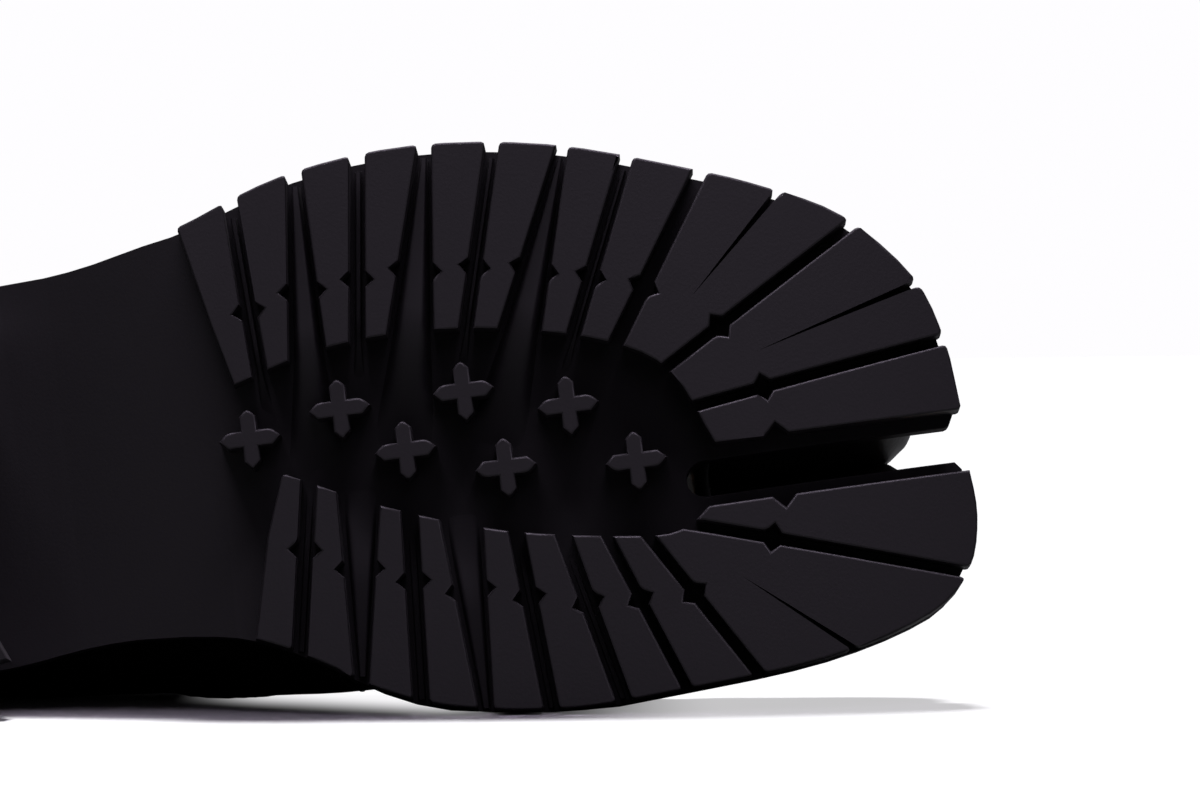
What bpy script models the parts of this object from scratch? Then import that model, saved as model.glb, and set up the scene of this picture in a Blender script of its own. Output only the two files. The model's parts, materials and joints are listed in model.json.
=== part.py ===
"""Split-toe lace-up shoe for the right foot, lying on its inner side.

Every piece is worked out in the standing shoe's own frame, in millimetres: x runs from the
back of the heel to the toe, y to the inner (medial) side and z up from the tread. One empty
then lays the shoe down on its inner side, where sole edge, heel edge and collar touch the floor.
"""

import math
from collections import namedtuple

import bmesh
import bpy
import numpy as np
from mathutils import Matrix, Vector
from mathutils.geometry import intersect_ray_tri

MM = 0.001

# Driving dimensions of the sole
SOLE_LENGTH = 272.0
HEEL_HALF_WIDTH = 37.0
HEEL_ARC = 40.0
SEAT_STEP = 3.2
SEAT_REAR = 60.0
SEAT_FRONT = 95.0
LUG_HEIGHT = 6.5
LUG_STEP = 1.0
STEP_REAR = 122.0
STEP_FRONT = 136.0
BASE_THICKNESS = 6.0
MIDSOLE_THICKNESS = 4.5
MIDSOLE_STEP = 0.8
INSOLE_THICKNESS = 3.0
HEEL_SEAT = 24.0
TOE_SPRING = 9.0
FLAT_FRONT = 205.0
ARCH_FRONT = 152.0
ARCH_REAR = 78.0
ARCH_STEPS = 9
SPRING_STEPS = 8
TIP_MARGIN = 2.0
JOIN_GAP = 0.3

# Modelling allowances
FUSE = 1.0
CUT_LOW = -5.0
CUT_HIGH = 40.0
CUT_MARGIN = 20.0
SAME_POINT = 0.05
STATION_TOLERANCE = 0.02

# The slot between the two toe lobes
SLOT_CENTRE = 15.95
SLOT_HALF = 3.25
SLOT_END = 219.5
SLOT_LUG_HALF = 5.65
SLOT_DIAMOND_X = 237.0
SLOT_MOUTH_SETBACK = 1.2
SLOT_MOUTH_SKEW = 0.3

# Tread details
LUGS_REAR = 118.0
GROOVE_INNER_RUN = 3.0
GROOVE_OUTER_RUN = 5.0
NOTCH = 1.5
SLOT_NOTCH = 2.2
CROSS_SPAN = 11.4
CROSS_ARM = 3.1
CROSS_DROP = 0.8
REAR_LUG_FADE = 3.0
FADE_REAR = 130.0
FADE_FRONT = 150.0

# Upper
WALL = 1.6
OVERLAY = 1.2
HEEL_INSET = 8.0
TOE_INSET = 6.0
WELT_REAR = 60.0
WELT_FRONT = 150.0
THROAT = 165.0
QUARTER_EDGE = 172.0
QUARTER_LEAN = 22.0
WEB = 224.0
CLEFT_START = 206.0
FACING_TOP = 118.0
FACING_GAP = 8.0
FACING_FADE = 30.0
CLEFT_WALL = 4.3
CLEFT_SHARPNESS = 1.5
ROUND = 0.85

# Closing
TONGUE_CLEAR = 0.35
EYELET_SETBACK = 8.0
EYELET_STATIONS = (160.0, 148.0, 136.0, 124.0)
EYELET_OUTER = 3.6
EYELET_INNER = 2.2
EYELET_HEIGHT = 1.0
EYELET_SIDES = 14
LACE_RADIUS = 1.25
TONGUE_THICKNESS = 2.0

Width = namedtuple("Width", "x half")
TONGUE = [
    Width(100.0, 6.5),
    Width(108.0, 7.0),
    Width(116.0, 7.8),
    Width(130.0, 14.5),
    Width(145.0, 19.0),
    Width(165.0, 22.0),
    Width(184.0, 19.0),
]
# A bar's distance from the ridge and height over the upper's surface, from its eyelet to the middle
LaceStep = namedtuple("LaceStep", "away height")
LACE_PATH = [
    LaceStep(16.0, 1.9),
    LaceStep(15.9, 2.7),
    LaceStep(15.3, 3.6),
    LaceStep(14.2, 4.2),
    LaceStep(12.4, 4.2),
    LaceStep(9.0, 3.3),
    LaceStep(4.5, 2.6),
    LaceStep(0.0, 2.4),
]

# Roughly where the shoe balances, and how far a side faces inwards to be the one that it rests on
BALANCE_POINT = (118.0, 1.0, 22.0)
INWARD_SHARE = 0.8

# The sole's heights are straight between these places along the shoe
STATIONS = np.array(
    [
        0.0,
        *np.linspace(ARCH_REAR, ARCH_FRONT, ARCH_STEPS),
        *np.linspace(FLAT_FRONT, SOLE_LENGTH + TIP_MARGIN, SPRING_STEPS),
    ]
)

Edge = namedtuple("Edge", "x y")
Groove = namedtuple("Groove", "outer_x outer_y inner_x inner_y outer_width inner_width diamond_share")
Height = namedtuple("Height", "x height")
Ridge = namedtuple("Ridge", "x y")
Bulge = namedtuple("Bulge", "x medial lateral")
Collar = namedtuple("Collar", "x medial lateral height")

MEDIAL_EDGE = [
    Edge(40.0, 37.0),
    Edge(66.0, 36.0),
    Edge(90.0, 33.1),
    Edge(110.0, 31.2),
    Edge(130.0, 32.8),
    Edge(144.0, 38.0),
    Edge(165.0, 50.0),
    Edge(190.0, 55.0),
    Edge(214.0, 54.4),
    Edge(241.0, 51.8),
    Edge(261.0, 46.0),
    Edge(269.2, 38.5),
    Edge(272.0, 29.0),
    Edge(271.6, 20.6),
]
LATERAL_EDGE = [
    Edge(40.0, -37.0),
    Edge(66.0, -37.8),
    Edge(90.0, -38.6),
    Edge(110.0, -39.0),
    Edge(130.0, -42.6),
    Edge(154.0, -49.6),
    Edge(177.0, -51.8),
    Edge(202.0, -48.8),
    Edge(227.0, -41.2),
    Edge(241.0, -36.0),
    Edge(254.4, -29.2),
    Edge(266.0, -16.6),
    Edge(270.4, -3.8),
    Edge(271.6, 9.6),
]
LATERAL_RECESS = [
    Edge(139.0, -12.0),
    Edge(155.0, -16.1),
    Edge(172.0, -17.3),
    Edge(190.0, -15.6),
    Edge(208.0, -11.0),
    Edge(219.0, -4.0),
    Edge(225.5, 10.3),
]
MEDIAL_RECESS = [
    Edge(146.0, 5.4),
    Edge(163.4, 13.8),
    Edge(185.5, 21.3),
    Edge(209.7, 25.4),
    Edge(218.0, 25.0),
    Edge(223.0, 21.6),
]
LATERAL_REAR = [Edge(135.9, -24.3), Edge(132.2, -41.1)]
MEDIAL_REAR = [Edge(137.2, 35.1), Edge(141.8, 16.7)]
BARE_WAIST = [Edge(126.0, -70.0), Edge(90.0, -70.0), Edge(90.0, 70.0), Edge(128.5, 70.0)]

GROOVES = [
    Groove(142.5, -44.1, 144.0, -13.8, 2.9, 2.9, 0.38),
    Groove(154.8, -48.0, 153.3, -16.0, 3.1, 7.0, 0.36),
    Groove(166.7, -49.7, 162.7, -16.9, 2.9, 2.9, 0.35),
    Groove(179.2, -50.2, 172.6, -17.2, 2.8, 8.5, 0.35),
    Groove(191.6, -49.0, 182.8, -16.5, 2.6, 2.6, 0.35),
    Groove(204.3, -46.9, 192.6, -14.9, 2.4, 7.9, 0.35),
    Groove(215.7, -43.5, 202.2, -12.6, 2.5, 2.5, 0.35),
    Groove(228.6, -39.1, 210.0, -10.6, 2.7, 2.7, 0.34),
    Groove(255.1, -26.9, 218.6, -4.9, 2.0, 2.0, 0.29),
    Groove(269.6, -4.2, 224.5, 2.7, 2.0, 2.0, 0.25),
    Groove(268.7, 39.2, 219.6, 24.6, 2.0, 2.0, 0.29),
    Groove(227.7, 52.7, 211.3, 25.8, 2.0, 2.0, 0.42),
    Groove(214.7, 54.3, 203.8, 24.9, 1.8, 1.8, 0.41),
    Groove(202.9, 54.9, 195.9, 23.9, 2.8, 2.8, 0.40),
    Groove(189.6, 54.9, 187.3, 21.6, 2.8, 2.8, 0.37),
    Groove(177.7, 53.5, 177.6, 18.9, 2.8, 7.7, 0.36),
    Groove(166.1, 50.3, 168.3, 15.9, 3.1, 3.1, 0.36),
    Groove(155.8, 44.8, 159.4, 12.0, 2.9, 7.9, 0.39),
    Groove(145.1, 38.7, 150.6, 8.0, 2.9, 2.9, 0.39),
]
SIPES = [
    Groove(242.4, -34.2, 224.8, -17.3, 1.3, 0.0, None),
    Groove(265.5, -14.9, 235.4, -5.8, 1.3, 0.0, None),
    Groove(246.3, 50.9, 227.2, 35.0, 1.1, 0.0, None),
]
CROSSES = [
    Edge(140.8, -1.8),
    Edge(157.9, -5.1),
    Edge(169.0, 4.1),
    Edge(180.9, -5.4),
    Edge(186.9, 9.6),
    Edge(199.7, -0.3),
    Edge(210.8, 11.5),
]

# Heel tread: radial grooves round a middle recess
HEEL_CENTRE = Edge(48.0, 0.0)
HEEL_RECESS_RADIUS = 16.0
HEEL_GROOVE_ANGLES = (62, 95, 128, 161, 199, 232, 265, 298)
HEEL_GROOVE_WIDTH = 2.8
HEEL_GROOVE_REACH = 60.0
HEEL_GROOVE_RUN = 2.0
HEEL_DIAMOND_SHARE = 0.26
HEEL_BREAST = 92.0
HEEL_BREAST_SAG = 8.0
HEEL_BREAST_CLEAR = 2.0

# Height of the upper over its feather edge, along the foot
INSTEP = [
    Height(98.0, 81.0),
    Height(118.0, 72.0),
    Height(140.0, 60.0),
    Height(165.0, 48.0),
    Height(190.0, 39.5),
    Height(215.0, 32.0),
    Height(240.0, 27.0),
    Height(268.0, 23.0),
]
RIDGE = [
    Ridge(98.0, 1.0),
    Ridge(118.0, 1.5),
    Ridge(165.0, 5.0),
    Ridge(190.0, 11.0),
    Ridge(206.0, 15.9),
    Ridge(268.0, 15.9),
]
BULGE = [
    Bulge(40.0, 0.3, 0.3),
    Bulge(66.0, 1.0, 1.0),
    Bulge(84.0, 5.0, 2.0),
    Bulge(104.0, 11.5, 3.8),
    Bulge(118.0, 15.4, 6.0),
    Bulge(126.0, 16.4, 6.6),
    Bulge(135.0, 13.0, 5.2),
    Bulge(150.0, 10.6, 4.0),
    Bulge(172.0, 3.6, 3.0),
    Bulge(225.0, 2.0, 2.0),
    Bulge(268.0, 2.0, 2.0),
]
COLLAR = [
    Collar(40.0, 24.5, -25.0, 90.5),
    Collar(58.0, 27.2, -28.5, 86.5),
    Collar(76.0, 28.2, -29.2, 86.0),
    Collar(92.0, 27.0, -27.5, 89.0),
    Collar(106.0, 22.0, -21.5, 95.0),
]
COLLAR_BACK = Height(10.0, 98.0)
COLLAR_BLEND = 16.0
HEEL_BACK_BULGE = 7.0
BEND_SWELL = 1.6
BEND_INWARD = 0.15
BEND_RISE = 0.62
BEND_RISE_FRONT = 0.9
BEND_FRONT = 84.0

# Toe lobes of the upper: where each closes, and where its cleft wall and crown start to round off
Lobe = namedtuple("Lobe", "tip_x tip_y wall_y round_x crown_x crown_tip")
MEDIAL_LOBE = Lobe(265.8, 29.5, SLOT_CENTRE + CLEFT_WALL, 252.0, 243.0, 11.0)
LATERAL_LOBE = Lobe(265.2, 4.0, SLOT_CENTRE - CLEFT_WALL, 252.0, 243.0, 11.0)
CLEFT_BULGE = 6.0
LOBE_WIDTH = 16.0
LOBE_TIP_RUN = 4.0
INSOLE_INSET = WALL + 0.6
INSOLE_LOBE_INSET = WALL + 2.0
INSOLE_TIP = 8.0
INSOLE_SLOT_END = 214.0
INSOLE_LOBE_START = WEB - 3.0
PANEL_RUN = 0.5
PANEL_CLEAR = 4.0

# Mesh density
COLUMNS = 10
FACING_COLUMN = 8
CURVE_STEPS = 4
LOOKUP_STEPS = 8
ROUND_STEPS = 9
BREAST_STEPS = 11
RING_STEPS = 25
PANEL_ROWS = 3
VAMP_ROWS = 8
CLEFT_ROWS = 7
LOBE_ROWS = 12
FACING_ROWS = 12
COLLAR_ROWS = 14
HEEL_ROWS = 10
INSOLE_LOBE_ROWS = 6
TONGUE_ROWS = 15
TONGUE_COLUMNS = 9
SHARP_DEG = 50.0

Finish = namedtuple("Finish", "colour roughness metallic")
RUBBER = Finish((0.014, 0.013, 0.015), 0.55, 0.0)
BLACK_LEATHER = Finish((0.012, 0.011, 0.012), 0.38, 0.0)
TAN_LEATHER = Finish((0.33, 0.19, 0.09), 0.6, 0.0)
LINING_LEATHER = Finish((0.42, 0.29, 0.18), 0.65, 0.0)
BLACK_METAL = Finish((0.02, 0.02, 0.022), 0.35, 1.0)
WAXED_COTTON = Finish((0.012, 0.012, 0.013), 0.7, 0.0)


def smooth_step(low, high, value):
    """0 below low, 1 above high, and an even S-curve between them."""
    share = np.clip((np.asarray(value, float) - low) / (high - low), 0.0, 1.0)
    return share * share * (3.0 - 2.0 * share)


def curve_through(rows, steps=CURVE_STEPS):
    """A polyline on the smooth curve that passes through every row."""
    rows = np.asarray(rows, float)
    held = np.vstack([2 * rows[0] - rows[1], rows, 2 * rows[-1] - rows[-2]])
    shares = np.arange(steps)[:, None] / steps
    spans = []
    for before, start, end, after in zip(held, held[1:], held[2:], held[3:]):
        spans.append(
            0.5
            * (
                2 * start
                + (end - before) * shares
                + (2 * before - 5 * start + 4 * end - after) * shares**2
                + (3 * start - before - 3 * end + after) * shares**3
            )
        )
    return np.vstack(spans + [rows[-1:]])


def lookup(rows, x, column=1):
    """A table's column at x, on the smooth curve through its rows."""
    curve = curve_through(rows, LOOKUP_STEPS)
    return np.interp(x, curve[:, 0], curve[:, column])


def base_height(x):
    """Underside of the outsole's base: flat at the ball, up to the heel seat and up at the toe."""
    arch = 1.0 - smooth_step(ARCH_REAR, ARCH_FRONT, STATIONS)
    spring = np.maximum(STATIONS - FLAT_FRONT, 0.0) / (SOLE_LENGTH - FLAT_FRONT)
    heights = LUG_HEIGHT + (HEEL_SEAT - LUG_HEIGHT) * arch + TOE_SPRING * spring**2
    return np.interp(x, STATIONS, heights)


def tread_height(x):
    """Faces of the forefoot lugs: on the floor at the ball, fading into the waist behind it."""
    fade = REAR_LUG_FADE * (1.0 - smooth_step(FADE_REAR, FADE_FRONT, STATIONS))
    return base_height(x) - LUG_HEIGHT + np.interp(x, STATIONS, fade)


def base_top(x):
    """Top of the outsole's base."""
    return base_height(x) + BASE_THICKNESS


def midsole_bottom(x):
    """Underside of the midsole."""
    return base_top(x) + JOIN_GAP


def feather_height(x):
    """Where the upper's lower edge and the insole rest on the midsole."""
    return midsole_bottom(x) + MIDSOLE_THICKNESS + JOIN_GAP


def side_edge(rows, inset):
    """One side of the sole's outline from the back of the heel to the toe, moved in by inset(x)."""
    side = math.copysign(1.0, rows[0].y)
    turns = np.linspace(0.0, math.pi / 2, ROUND_STEPS)[:-1]
    heel = np.column_stack(
        [HEEL_ARC * (1.0 - np.cos(turns)), side * HEEL_HALF_WIDTH * np.sin(turns)]
    )
    points = np.vstack([heel, curve_through(rows)])
    run = np.gradient(points, axis=0)
    run[0] = (0.0, side)
    run /= np.linalg.norm(run, axis=1)[:, None]
    inward = side * np.column_stack([run[:, 1], -run[:, 0]])
    return points + inward * inset(points[:, 0])[:, None]


def base_inset(x):
    """The base's edge lies behind the outer faces of the forefoot lugs and of the flared heel."""
    seat = SEAT_STEP * (1.0 - smooth_step(SEAT_REAR, SEAT_FRONT, x))
    return LUG_STEP * smooth_step(STEP_REAR, STEP_FRONT, x) + seat


def midsole_inset(x):
    """The midsole's edge lies a little behind the base's."""
    return base_inset(x) + MIDSOLE_STEP


def upper_inset(x):
    """The welt ledge: how far the upper's lower edge stands in from the sole's outline."""
    return HEEL_INSET + (TOE_INSET - HEEL_INSET) * smooth_step(WELT_REAR, WELT_FRONT, x)


def slotted_outline(inset):
    """Closed outline of a sole layer with the slot between its toe lobes."""
    medial = side_edge(MEDIAL_EDGE, inset)
    lateral = side_edge(LATERAL_EDGE, inset)
    half = SLOT_HALF + float(inset(SOLE_LENGTH)) - LUG_STEP
    turns = np.linspace(math.pi / 2, 3 * math.pi / 2, ROUND_STEPS)
    slot = np.column_stack(
        [SLOT_END + half + half * np.cos(turns), SLOT_CENTRE + half * np.sin(turns)]
    )
    mouth = medial[-1, 0] - SLOT_MOUTH_SETBACK
    inner = [(mouth, SLOT_CENTRE + half)]
    outer = [(mouth - SLOT_MOUTH_SKEW, SLOT_CENTRE - half)]
    return np.vstack([medial, inner, slot, outer, lateral[:0:-1]])


def heel_outline(inset):
    """Outline of the heel: the sole's edge, closed in front by a concave breast."""
    def edge_inset(x):
        return np.full_like(x, inset)

    sides = []
    for rows in (MEDIAL_EDGE, LATERAL_EDGE):
        edge = side_edge(rows, edge_inset)
        sides.append(edge[edge[:, 0] < HEEL_BREAST - inset - HEEL_BREAST_CLEAR])
    corner_y = lookup(MEDIAL_EDGE, HEEL_BREAST) - inset
    shares = np.linspace(1.0, -1.0, BREAST_STEPS)
    breast = np.column_stack(
        [HEEL_BREAST - inset - HEEL_BREAST_SAG * (1.0 - shares**2), corner_y * shares]
    )
    return np.vstack([sides[0], breast, sides[1][:0:-1]])


def cleaned(outline):
    """The outline anticlockwise and without repeated points."""
    kept = [outline[0]]
    for point in outline[1:]:
        if np.linalg.norm(point - kept[-1]) > SAME_POINT:
            kept.append(point)
    x, y = np.array(kept).T
    area = np.dot(x, np.roll(y, -1)) - np.dot(y, np.roll(x, -1))
    return np.array(kept if area > 0 else kept[::-1])


def object_from(name, shape, finish=None):
    """An object from a bmesh in millimetres; with no finish it is a hidden cutter or a shape to fuse."""
    bmesh.ops.scale(shape, vec=(MM, MM, MM), verts=shape.verts)
    mesh = bpy.data.meshes.new(name)
    shape.to_mesh(mesh)
    shape.free()
    piece = bpy.data.objects.new(name, mesh)
    bpy.context.scene.collection.objects.link(piece)
    if finish is None:
        piece.hide_render = True
        piece.display_type = "WIRE"
    else:
        dress(piece, finish)
    return piece


def dress(piece, finish):
    """Gives a piece its own plain material."""
    material = bpy.data.materials.new(piece.name)
    material.use_nodes = True
    shader = material.node_tree.nodes["Principled BSDF"]
    shader.inputs["Base Color"].default_value = (*finish.colour, 1.0)
    shader.inputs["Roughness"].default_value = finish.roughness
    shader.inputs["Metallic"].default_value = finish.metallic
    piece.data.materials.append(material)


def add_prism(shape, outline, low, high):
    """Adds an upright prism on a plan outline; low and high are heights or functions of x."""
    outline = cleaned(np.asarray(outline, float))
    lower = low if callable(low) else lambda x: low
    upper = high if callable(high) else lambda x: high
    floor = [shape.verts.new((x, y, lower(x))) for x, y in outline]
    roof = [shape.verts.new((x, y, upper(x))) for x, y in outline]
    shape.faces.new(floor[::-1])
    shape.faces.new(roof)
    for i, j in zip(range(len(outline)), [*range(1, len(outline)), 0]):
        shape.faces.new((floor[i], floor[j], roof[j], roof[i]))


def layer(name, outline, low, high, finish=None, flare=1.0):
    """A layer of the sole: a prism cut across at the stations, then bent to its lower and upper heights.

    A flared layer's top is smaller than its bottom, about the middle of the heel.
    """
    shape = bmesh.new()
    add_prism(shape, outline, 0.0, 1.0)
    for station in STATIONS[1:-1]:
        parts = shape.verts[:] + shape.edges[:] + shape.faces[:]
        bmesh.ops.bisect_plane(
            shape,
            geom=parts,
            dist=STATION_TOLERANCE,
            plane_co=(station, 0, 0),
            plane_no=(1, 0, 0),
        )
    for vert in shape.verts:
        x = vert.co.x
        if vert.co.z < 0.5:
            vert.co.z = float(low(x))
            continue
        vert.co.z = float(high(x))
        vert.co.x = HEEL_CENTRE.x + (x - HEEL_CENTRE.x) * flare
        vert.co.y *= flare
    return object_from(name, shape, finish)


def combine(piece, other, operation):
    """Joins or cuts a piece with another one."""
    boolean = piece.modifiers.new(f"{operation.lower()}_{other.name}", "BOOLEAN")
    boolean.operation = operation
    boolean.object = other
    boolean.solver = "EXACT"


def groove_outline(groove, inner_run, outer_run):
    """Plan of a groove that runs past the lugs, with a diamond across it where it has one."""
    inner = np.array([groove.inner_x, groove.inner_y])
    outer = np.array([groove.outer_x, groove.outer_y])
    length = np.linalg.norm(outer - inner)
    along = (outer - inner) / length
    across = np.array([-along[1], along[0]])

    def half_width(run):
        return 0.5 * (groove.inner_width + (groove.outer_width - groove.inner_width) * run / length)

    side = [(-inner_run, half_width(-inner_run))]
    if groove.diamond_share is not None:
        middle = groove.diamond_share * length
        side.append((middle - NOTCH, half_width(middle - NOTCH)))
        side.append((middle, half_width(middle) + NOTCH))
        side.append((middle + NOTCH, half_width(middle + NOTCH)))
    side.append((length + outer_run, half_width(length + outer_run)))
    left = [inner + run * along + width * across for run, width in side]
    right = [inner + run * along - width * across for run, width in side]
    return np.array(left + right[::-1])


def cross_outline(centre):
    """Plan of a small cross with pointed arms."""
    half = CROSS_ARM / 2
    reach = CROSS_SPAN / 2
    arm = [(half, half), (reach - half, half), (reach, 0.0), (reach - half, -half)]
    points = []
    for quarter in range(4):
        turn = -math.pi / 2 * quarter
        for x, y in arm:
            points.append(
                (
                    centre.x + x * math.cos(turn) - y * math.sin(turn),
                    centre.y + x * math.sin(turn) + y * math.cos(turn),
                )
            )
    return np.array(points)


def recess_outline():
    """Plan of all that the tread leaves open: the middle recess, the slot and the bare waist."""
    medial = SLOT_CENTRE + SLOT_LUG_HALF
    lateral = SLOT_CENTRE - SLOT_LUG_HALF
    beyond = SOLE_LENGTH + CUT_MARGIN
    slot = [
        (SLOT_DIAMOND_X - SLOT_NOTCH, medial),
        (SLOT_DIAMOND_X, medial + SLOT_NOTCH),
        (SLOT_DIAMOND_X + SLOT_NOTCH, medial),
        (beyond, medial),
        (beyond, lateral),
        (SLOT_DIAMOND_X + SLOT_NOTCH, lateral),
        (SLOT_DIAMOND_X, lateral - SLOT_NOTCH),
        (SLOT_DIAMOND_X - SLOT_NOTCH, lateral),
    ]
    return np.vstack(
        [
            curve_through(MEDIAL_RECESS),
            slot,
            curve_through(LATERAL_RECESS)[::-1],
            LATERAL_REAR,
            BARE_WAIST,
            MEDIAL_REAR,
        ]
    )


def make_outsole():
    """Rubber base with forefoot lugs, crosses, a stepped edge, the toe slot and a plain waist."""
    outsole = layer("outsole", slotted_outline(base_inset), base_height, base_top, RUBBER)

    def no_inset(x):
        return np.zeros_like(x)

    outline = np.vstack([side_edge(MEDIAL_EDGE, no_inset), side_edge(LATERAL_EDGE, no_inset)[:0:-1]])
    outline = outline[outline[:, 0] > LUGS_REAR]
    lugs = layer("lugs", outline, tread_height, lambda x: base_height(x) + FUSE)

    shape = bmesh.new()
    add_prism(shape, recess_outline(), CUT_LOW, CUT_HIGH)
    combine(lugs, object_from("recess", shape), "DIFFERENCE")

    shape = bmesh.new()
    for groove in GROOVES:
        outline = groove_outline(groove, GROOVE_INNER_RUN, GROOVE_OUTER_RUN)
        add_prism(shape, outline, CUT_LOW, CUT_HIGH)
    for sipe in SIPES:
        add_prism(shape, groove_outline(sipe, 0.0, GROOVE_OUTER_RUN), CUT_LOW, CUT_HIGH)
    combine(lugs, object_from("grooves", shape), "DIFFERENCE")
    combine(outsole, lugs, "UNION")

    shape = bmesh.new()
    for centre in CROSSES:
        face = float(base_height(centre.x)) - LUG_HEIGHT + CROSS_DROP
        add_prism(shape, cross_outline(centre), face, face + LUG_HEIGHT + FUSE)
    combine(outsole, object_from("crosses", shape), "UNION")
    return outsole


def make_heel():
    """Rubber heel block on a lugged tread, under the heel seat."""
    heel = layer(
        "heel",
        heel_outline(LUG_STEP),
        lambda x: LUG_HEIGHT,
        lambda x: base_height(x) - JOIN_GAP,
        RUBBER,
        flare=1.0 - (SEAT_STEP - LUG_STEP) / HEEL_HALF_WIDTH,
    )
    tread = layer("heel_lugs", heel_outline(0.0), lambda x: 0.0, lambda x: LUG_HEIGHT + FUSE)

    shape = bmesh.new()
    turns = np.linspace(0.0, 2 * math.pi, RING_STEPS)[:-1]
    ring = HEEL_RECESS_RADIUS * np.column_stack([np.cos(turns), np.sin(turns)])
    add_prism(shape, ring + np.array(HEEL_CENTRE), CUT_LOW, CUT_HIGH)
    combine(tread, object_from("heel_recess", shape), "DIFFERENCE")

    shape = bmesh.new()
    for angle in HEEL_GROOVE_ANGLES:
        away = np.array([math.cos(math.radians(angle)), math.sin(math.radians(angle))])
        start = np.array(HEEL_CENTRE) + (HEEL_RECESS_RADIUS - HEEL_GROOVE_RUN) * away
        end = np.array(HEEL_CENTRE) + HEEL_GROOVE_REACH * away
        groove = Groove(*end, *start, HEEL_GROOVE_WIDTH, HEEL_GROOVE_WIDTH, HEEL_DIAMOND_SHARE)
        add_prism(shape, groove_outline(groove, 0.0, 0.0), CUT_LOW, CUT_HIGH)
    combine(tread, object_from("heel_grooves", shape), "DIFFERENCE")
    combine(heel, tread, "UNION")

    shape = bmesh.new()
    add_prism(shape, cross_outline(HEEL_CENTRE), CROSS_DROP, LUG_HEIGHT + FUSE)
    combine(heel, object_from("heel_cross", shape), "UNION")
    return heel


def make_midsole():
    """Leather layer with a natural edge, slotted like the sole."""
    return layer(
        "midsole",
        slotted_outline(midsole_inset),
        midsole_bottom,
        lambda x: midsole_bottom(x) + MIDSOLE_THICKNESS,
        TAN_LEATHER,
    )


MEDIAL_FEATHER = side_edge(MEDIAL_EDGE, upper_inset)
LATERAL_FEATHER = side_edge(LATERAL_EDGE, upper_inset)


def feather(x, side):
    """Plan y of the upper's lower edge on the medial (+1) or lateral (-1) side."""
    edge = MEDIAL_FEATHER if side > 0 else LATERAL_FEATHER
    rising = np.maximum.accumulate(edge[:, 0])
    return float(np.interp(x, rising, edge[:, 1]))


def arch_point(x, turn, medial=None, lateral=None, height=None, ridge=None, bulges=None):
    """A point on the arched section at x: turn 0 is the medial lower edge and pi the lateral one."""
    medial = feather(x, 1) if medial is None else medial
    lateral = feather(x, -1) if lateral is None else lateral
    height = lookup(INSTEP, x) if height is None else height
    middle = (medial + lateral) / 2
    ridge = lookup(RIDGE, x) if ridge is None else ridge
    if bulges is None:
        bulges = lookup(BULGE, x, 1), lookup(BULGE, x, 2)
    reach = math.copysign(abs(math.cos(turn)) ** ROUND, math.cos(turn))
    rise = max(math.sin(turn), 0.0)
    swell = math.sin(2 * turn) * (bulges[0] if turn < math.pi / 2 else bulges[1])
    y = middle + (medial - lateral) / 2 * reach + swell + (ridge - middle) * rise**2
    return np.array([x, y, feather_height(x) + height * rise**ROUND])


def lobe_sides(lobe, x, side):
    """Outer and cleft-side plan y of a toe lobe at x; they meet at its tip."""
    share = min(max((x - lobe.round_x) / (lobe.tip_x - lobe.round_x), 0.0), 1.0)
    closing = 1.0 - math.sqrt(1.0 - share**2)
    wall = lobe.wall_y + (lobe.tip_y - lobe.wall_y) * closing
    outer = feather(x, side) if share < 1.0 else lobe.tip_y
    blend = smooth_step(lobe.tip_x - LOBE_TIP_RUN, lobe.tip_x, x)
    return outer + (lobe.tip_y - outer) * blend, wall


def lobe_height(lobe, x):
    """Height of a toe lobe, rounding down to a low front line at its tip."""
    full = lookup(INSTEP, x)
    share = min(max((x - lobe.crown_x) / (lobe.tip_x - lobe.crown_x), 0.0), 1.0)
    return lobe.crown_tip + (full - lobe.crown_tip) * math.sqrt(1.0 - share**2)


def lobe_point(lobe, x, share, side):
    """A point on a toe lobe's section: share 0 is its medial lower edge and 1 its lateral one."""
    outer, wall = lobe_sides(lobe, x, side)
    medial, lateral = max(outer, wall), min(outer, wall)
    fade = min((medial - lateral) / LOBE_WIDTH, 1.0)
    swell = lookup(BULGE, x, 1) * fade, CLEFT_BULGE * fade
    bulges = swell if side > 0 else swell[::-1]
    middle = (medial + lateral) / 2
    return arch_point(x, math.pi * share, medial, lateral, lobe_height(lobe, x), middle, bulges)


def facing_turn(x, side):
    """Turn of the facing's edge, so that the throat keeps its gap on both sides of the ridge."""
    half = (feather(x, 1) - feather(x, -1)) / 2
    turn = math.acos((FACING_GAP / half) ** (1.0 / ROUND))
    return turn if side > 0 else math.pi - turn


def column_turn(x, column):
    """Turn of a column of the vamp, counted from the lower edge to the ridge."""
    even = math.pi / 2 * FACING_COLUMN / COLUMNS
    edge = facing_turn(max(min(x, THROAT), FACING_TOP), 1)
    edge += (even - edge) * float(smooth_step(THROAT, THROAT + FACING_FADE, x))
    if column <= FACING_COLUMN:
        return edge * column / FACING_COLUMN
    return edge + (math.pi / 2 - edge) * (column - FACING_COLUMN) / (COLUMNS - FACING_COLUMN)


def leaned(x, turn):
    """Rows lean back towards the sole near the throat, as the front edge of the quarters does."""
    front = 1.0 - smooth_step(QUARTER_EDGE, CLEFT_START, x)
    rear = smooth_step(FACING_TOP, THROAT, x)
    return x - QUARTER_LEAN * math.cos(turn) ** 2 * float(front * rear)


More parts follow.
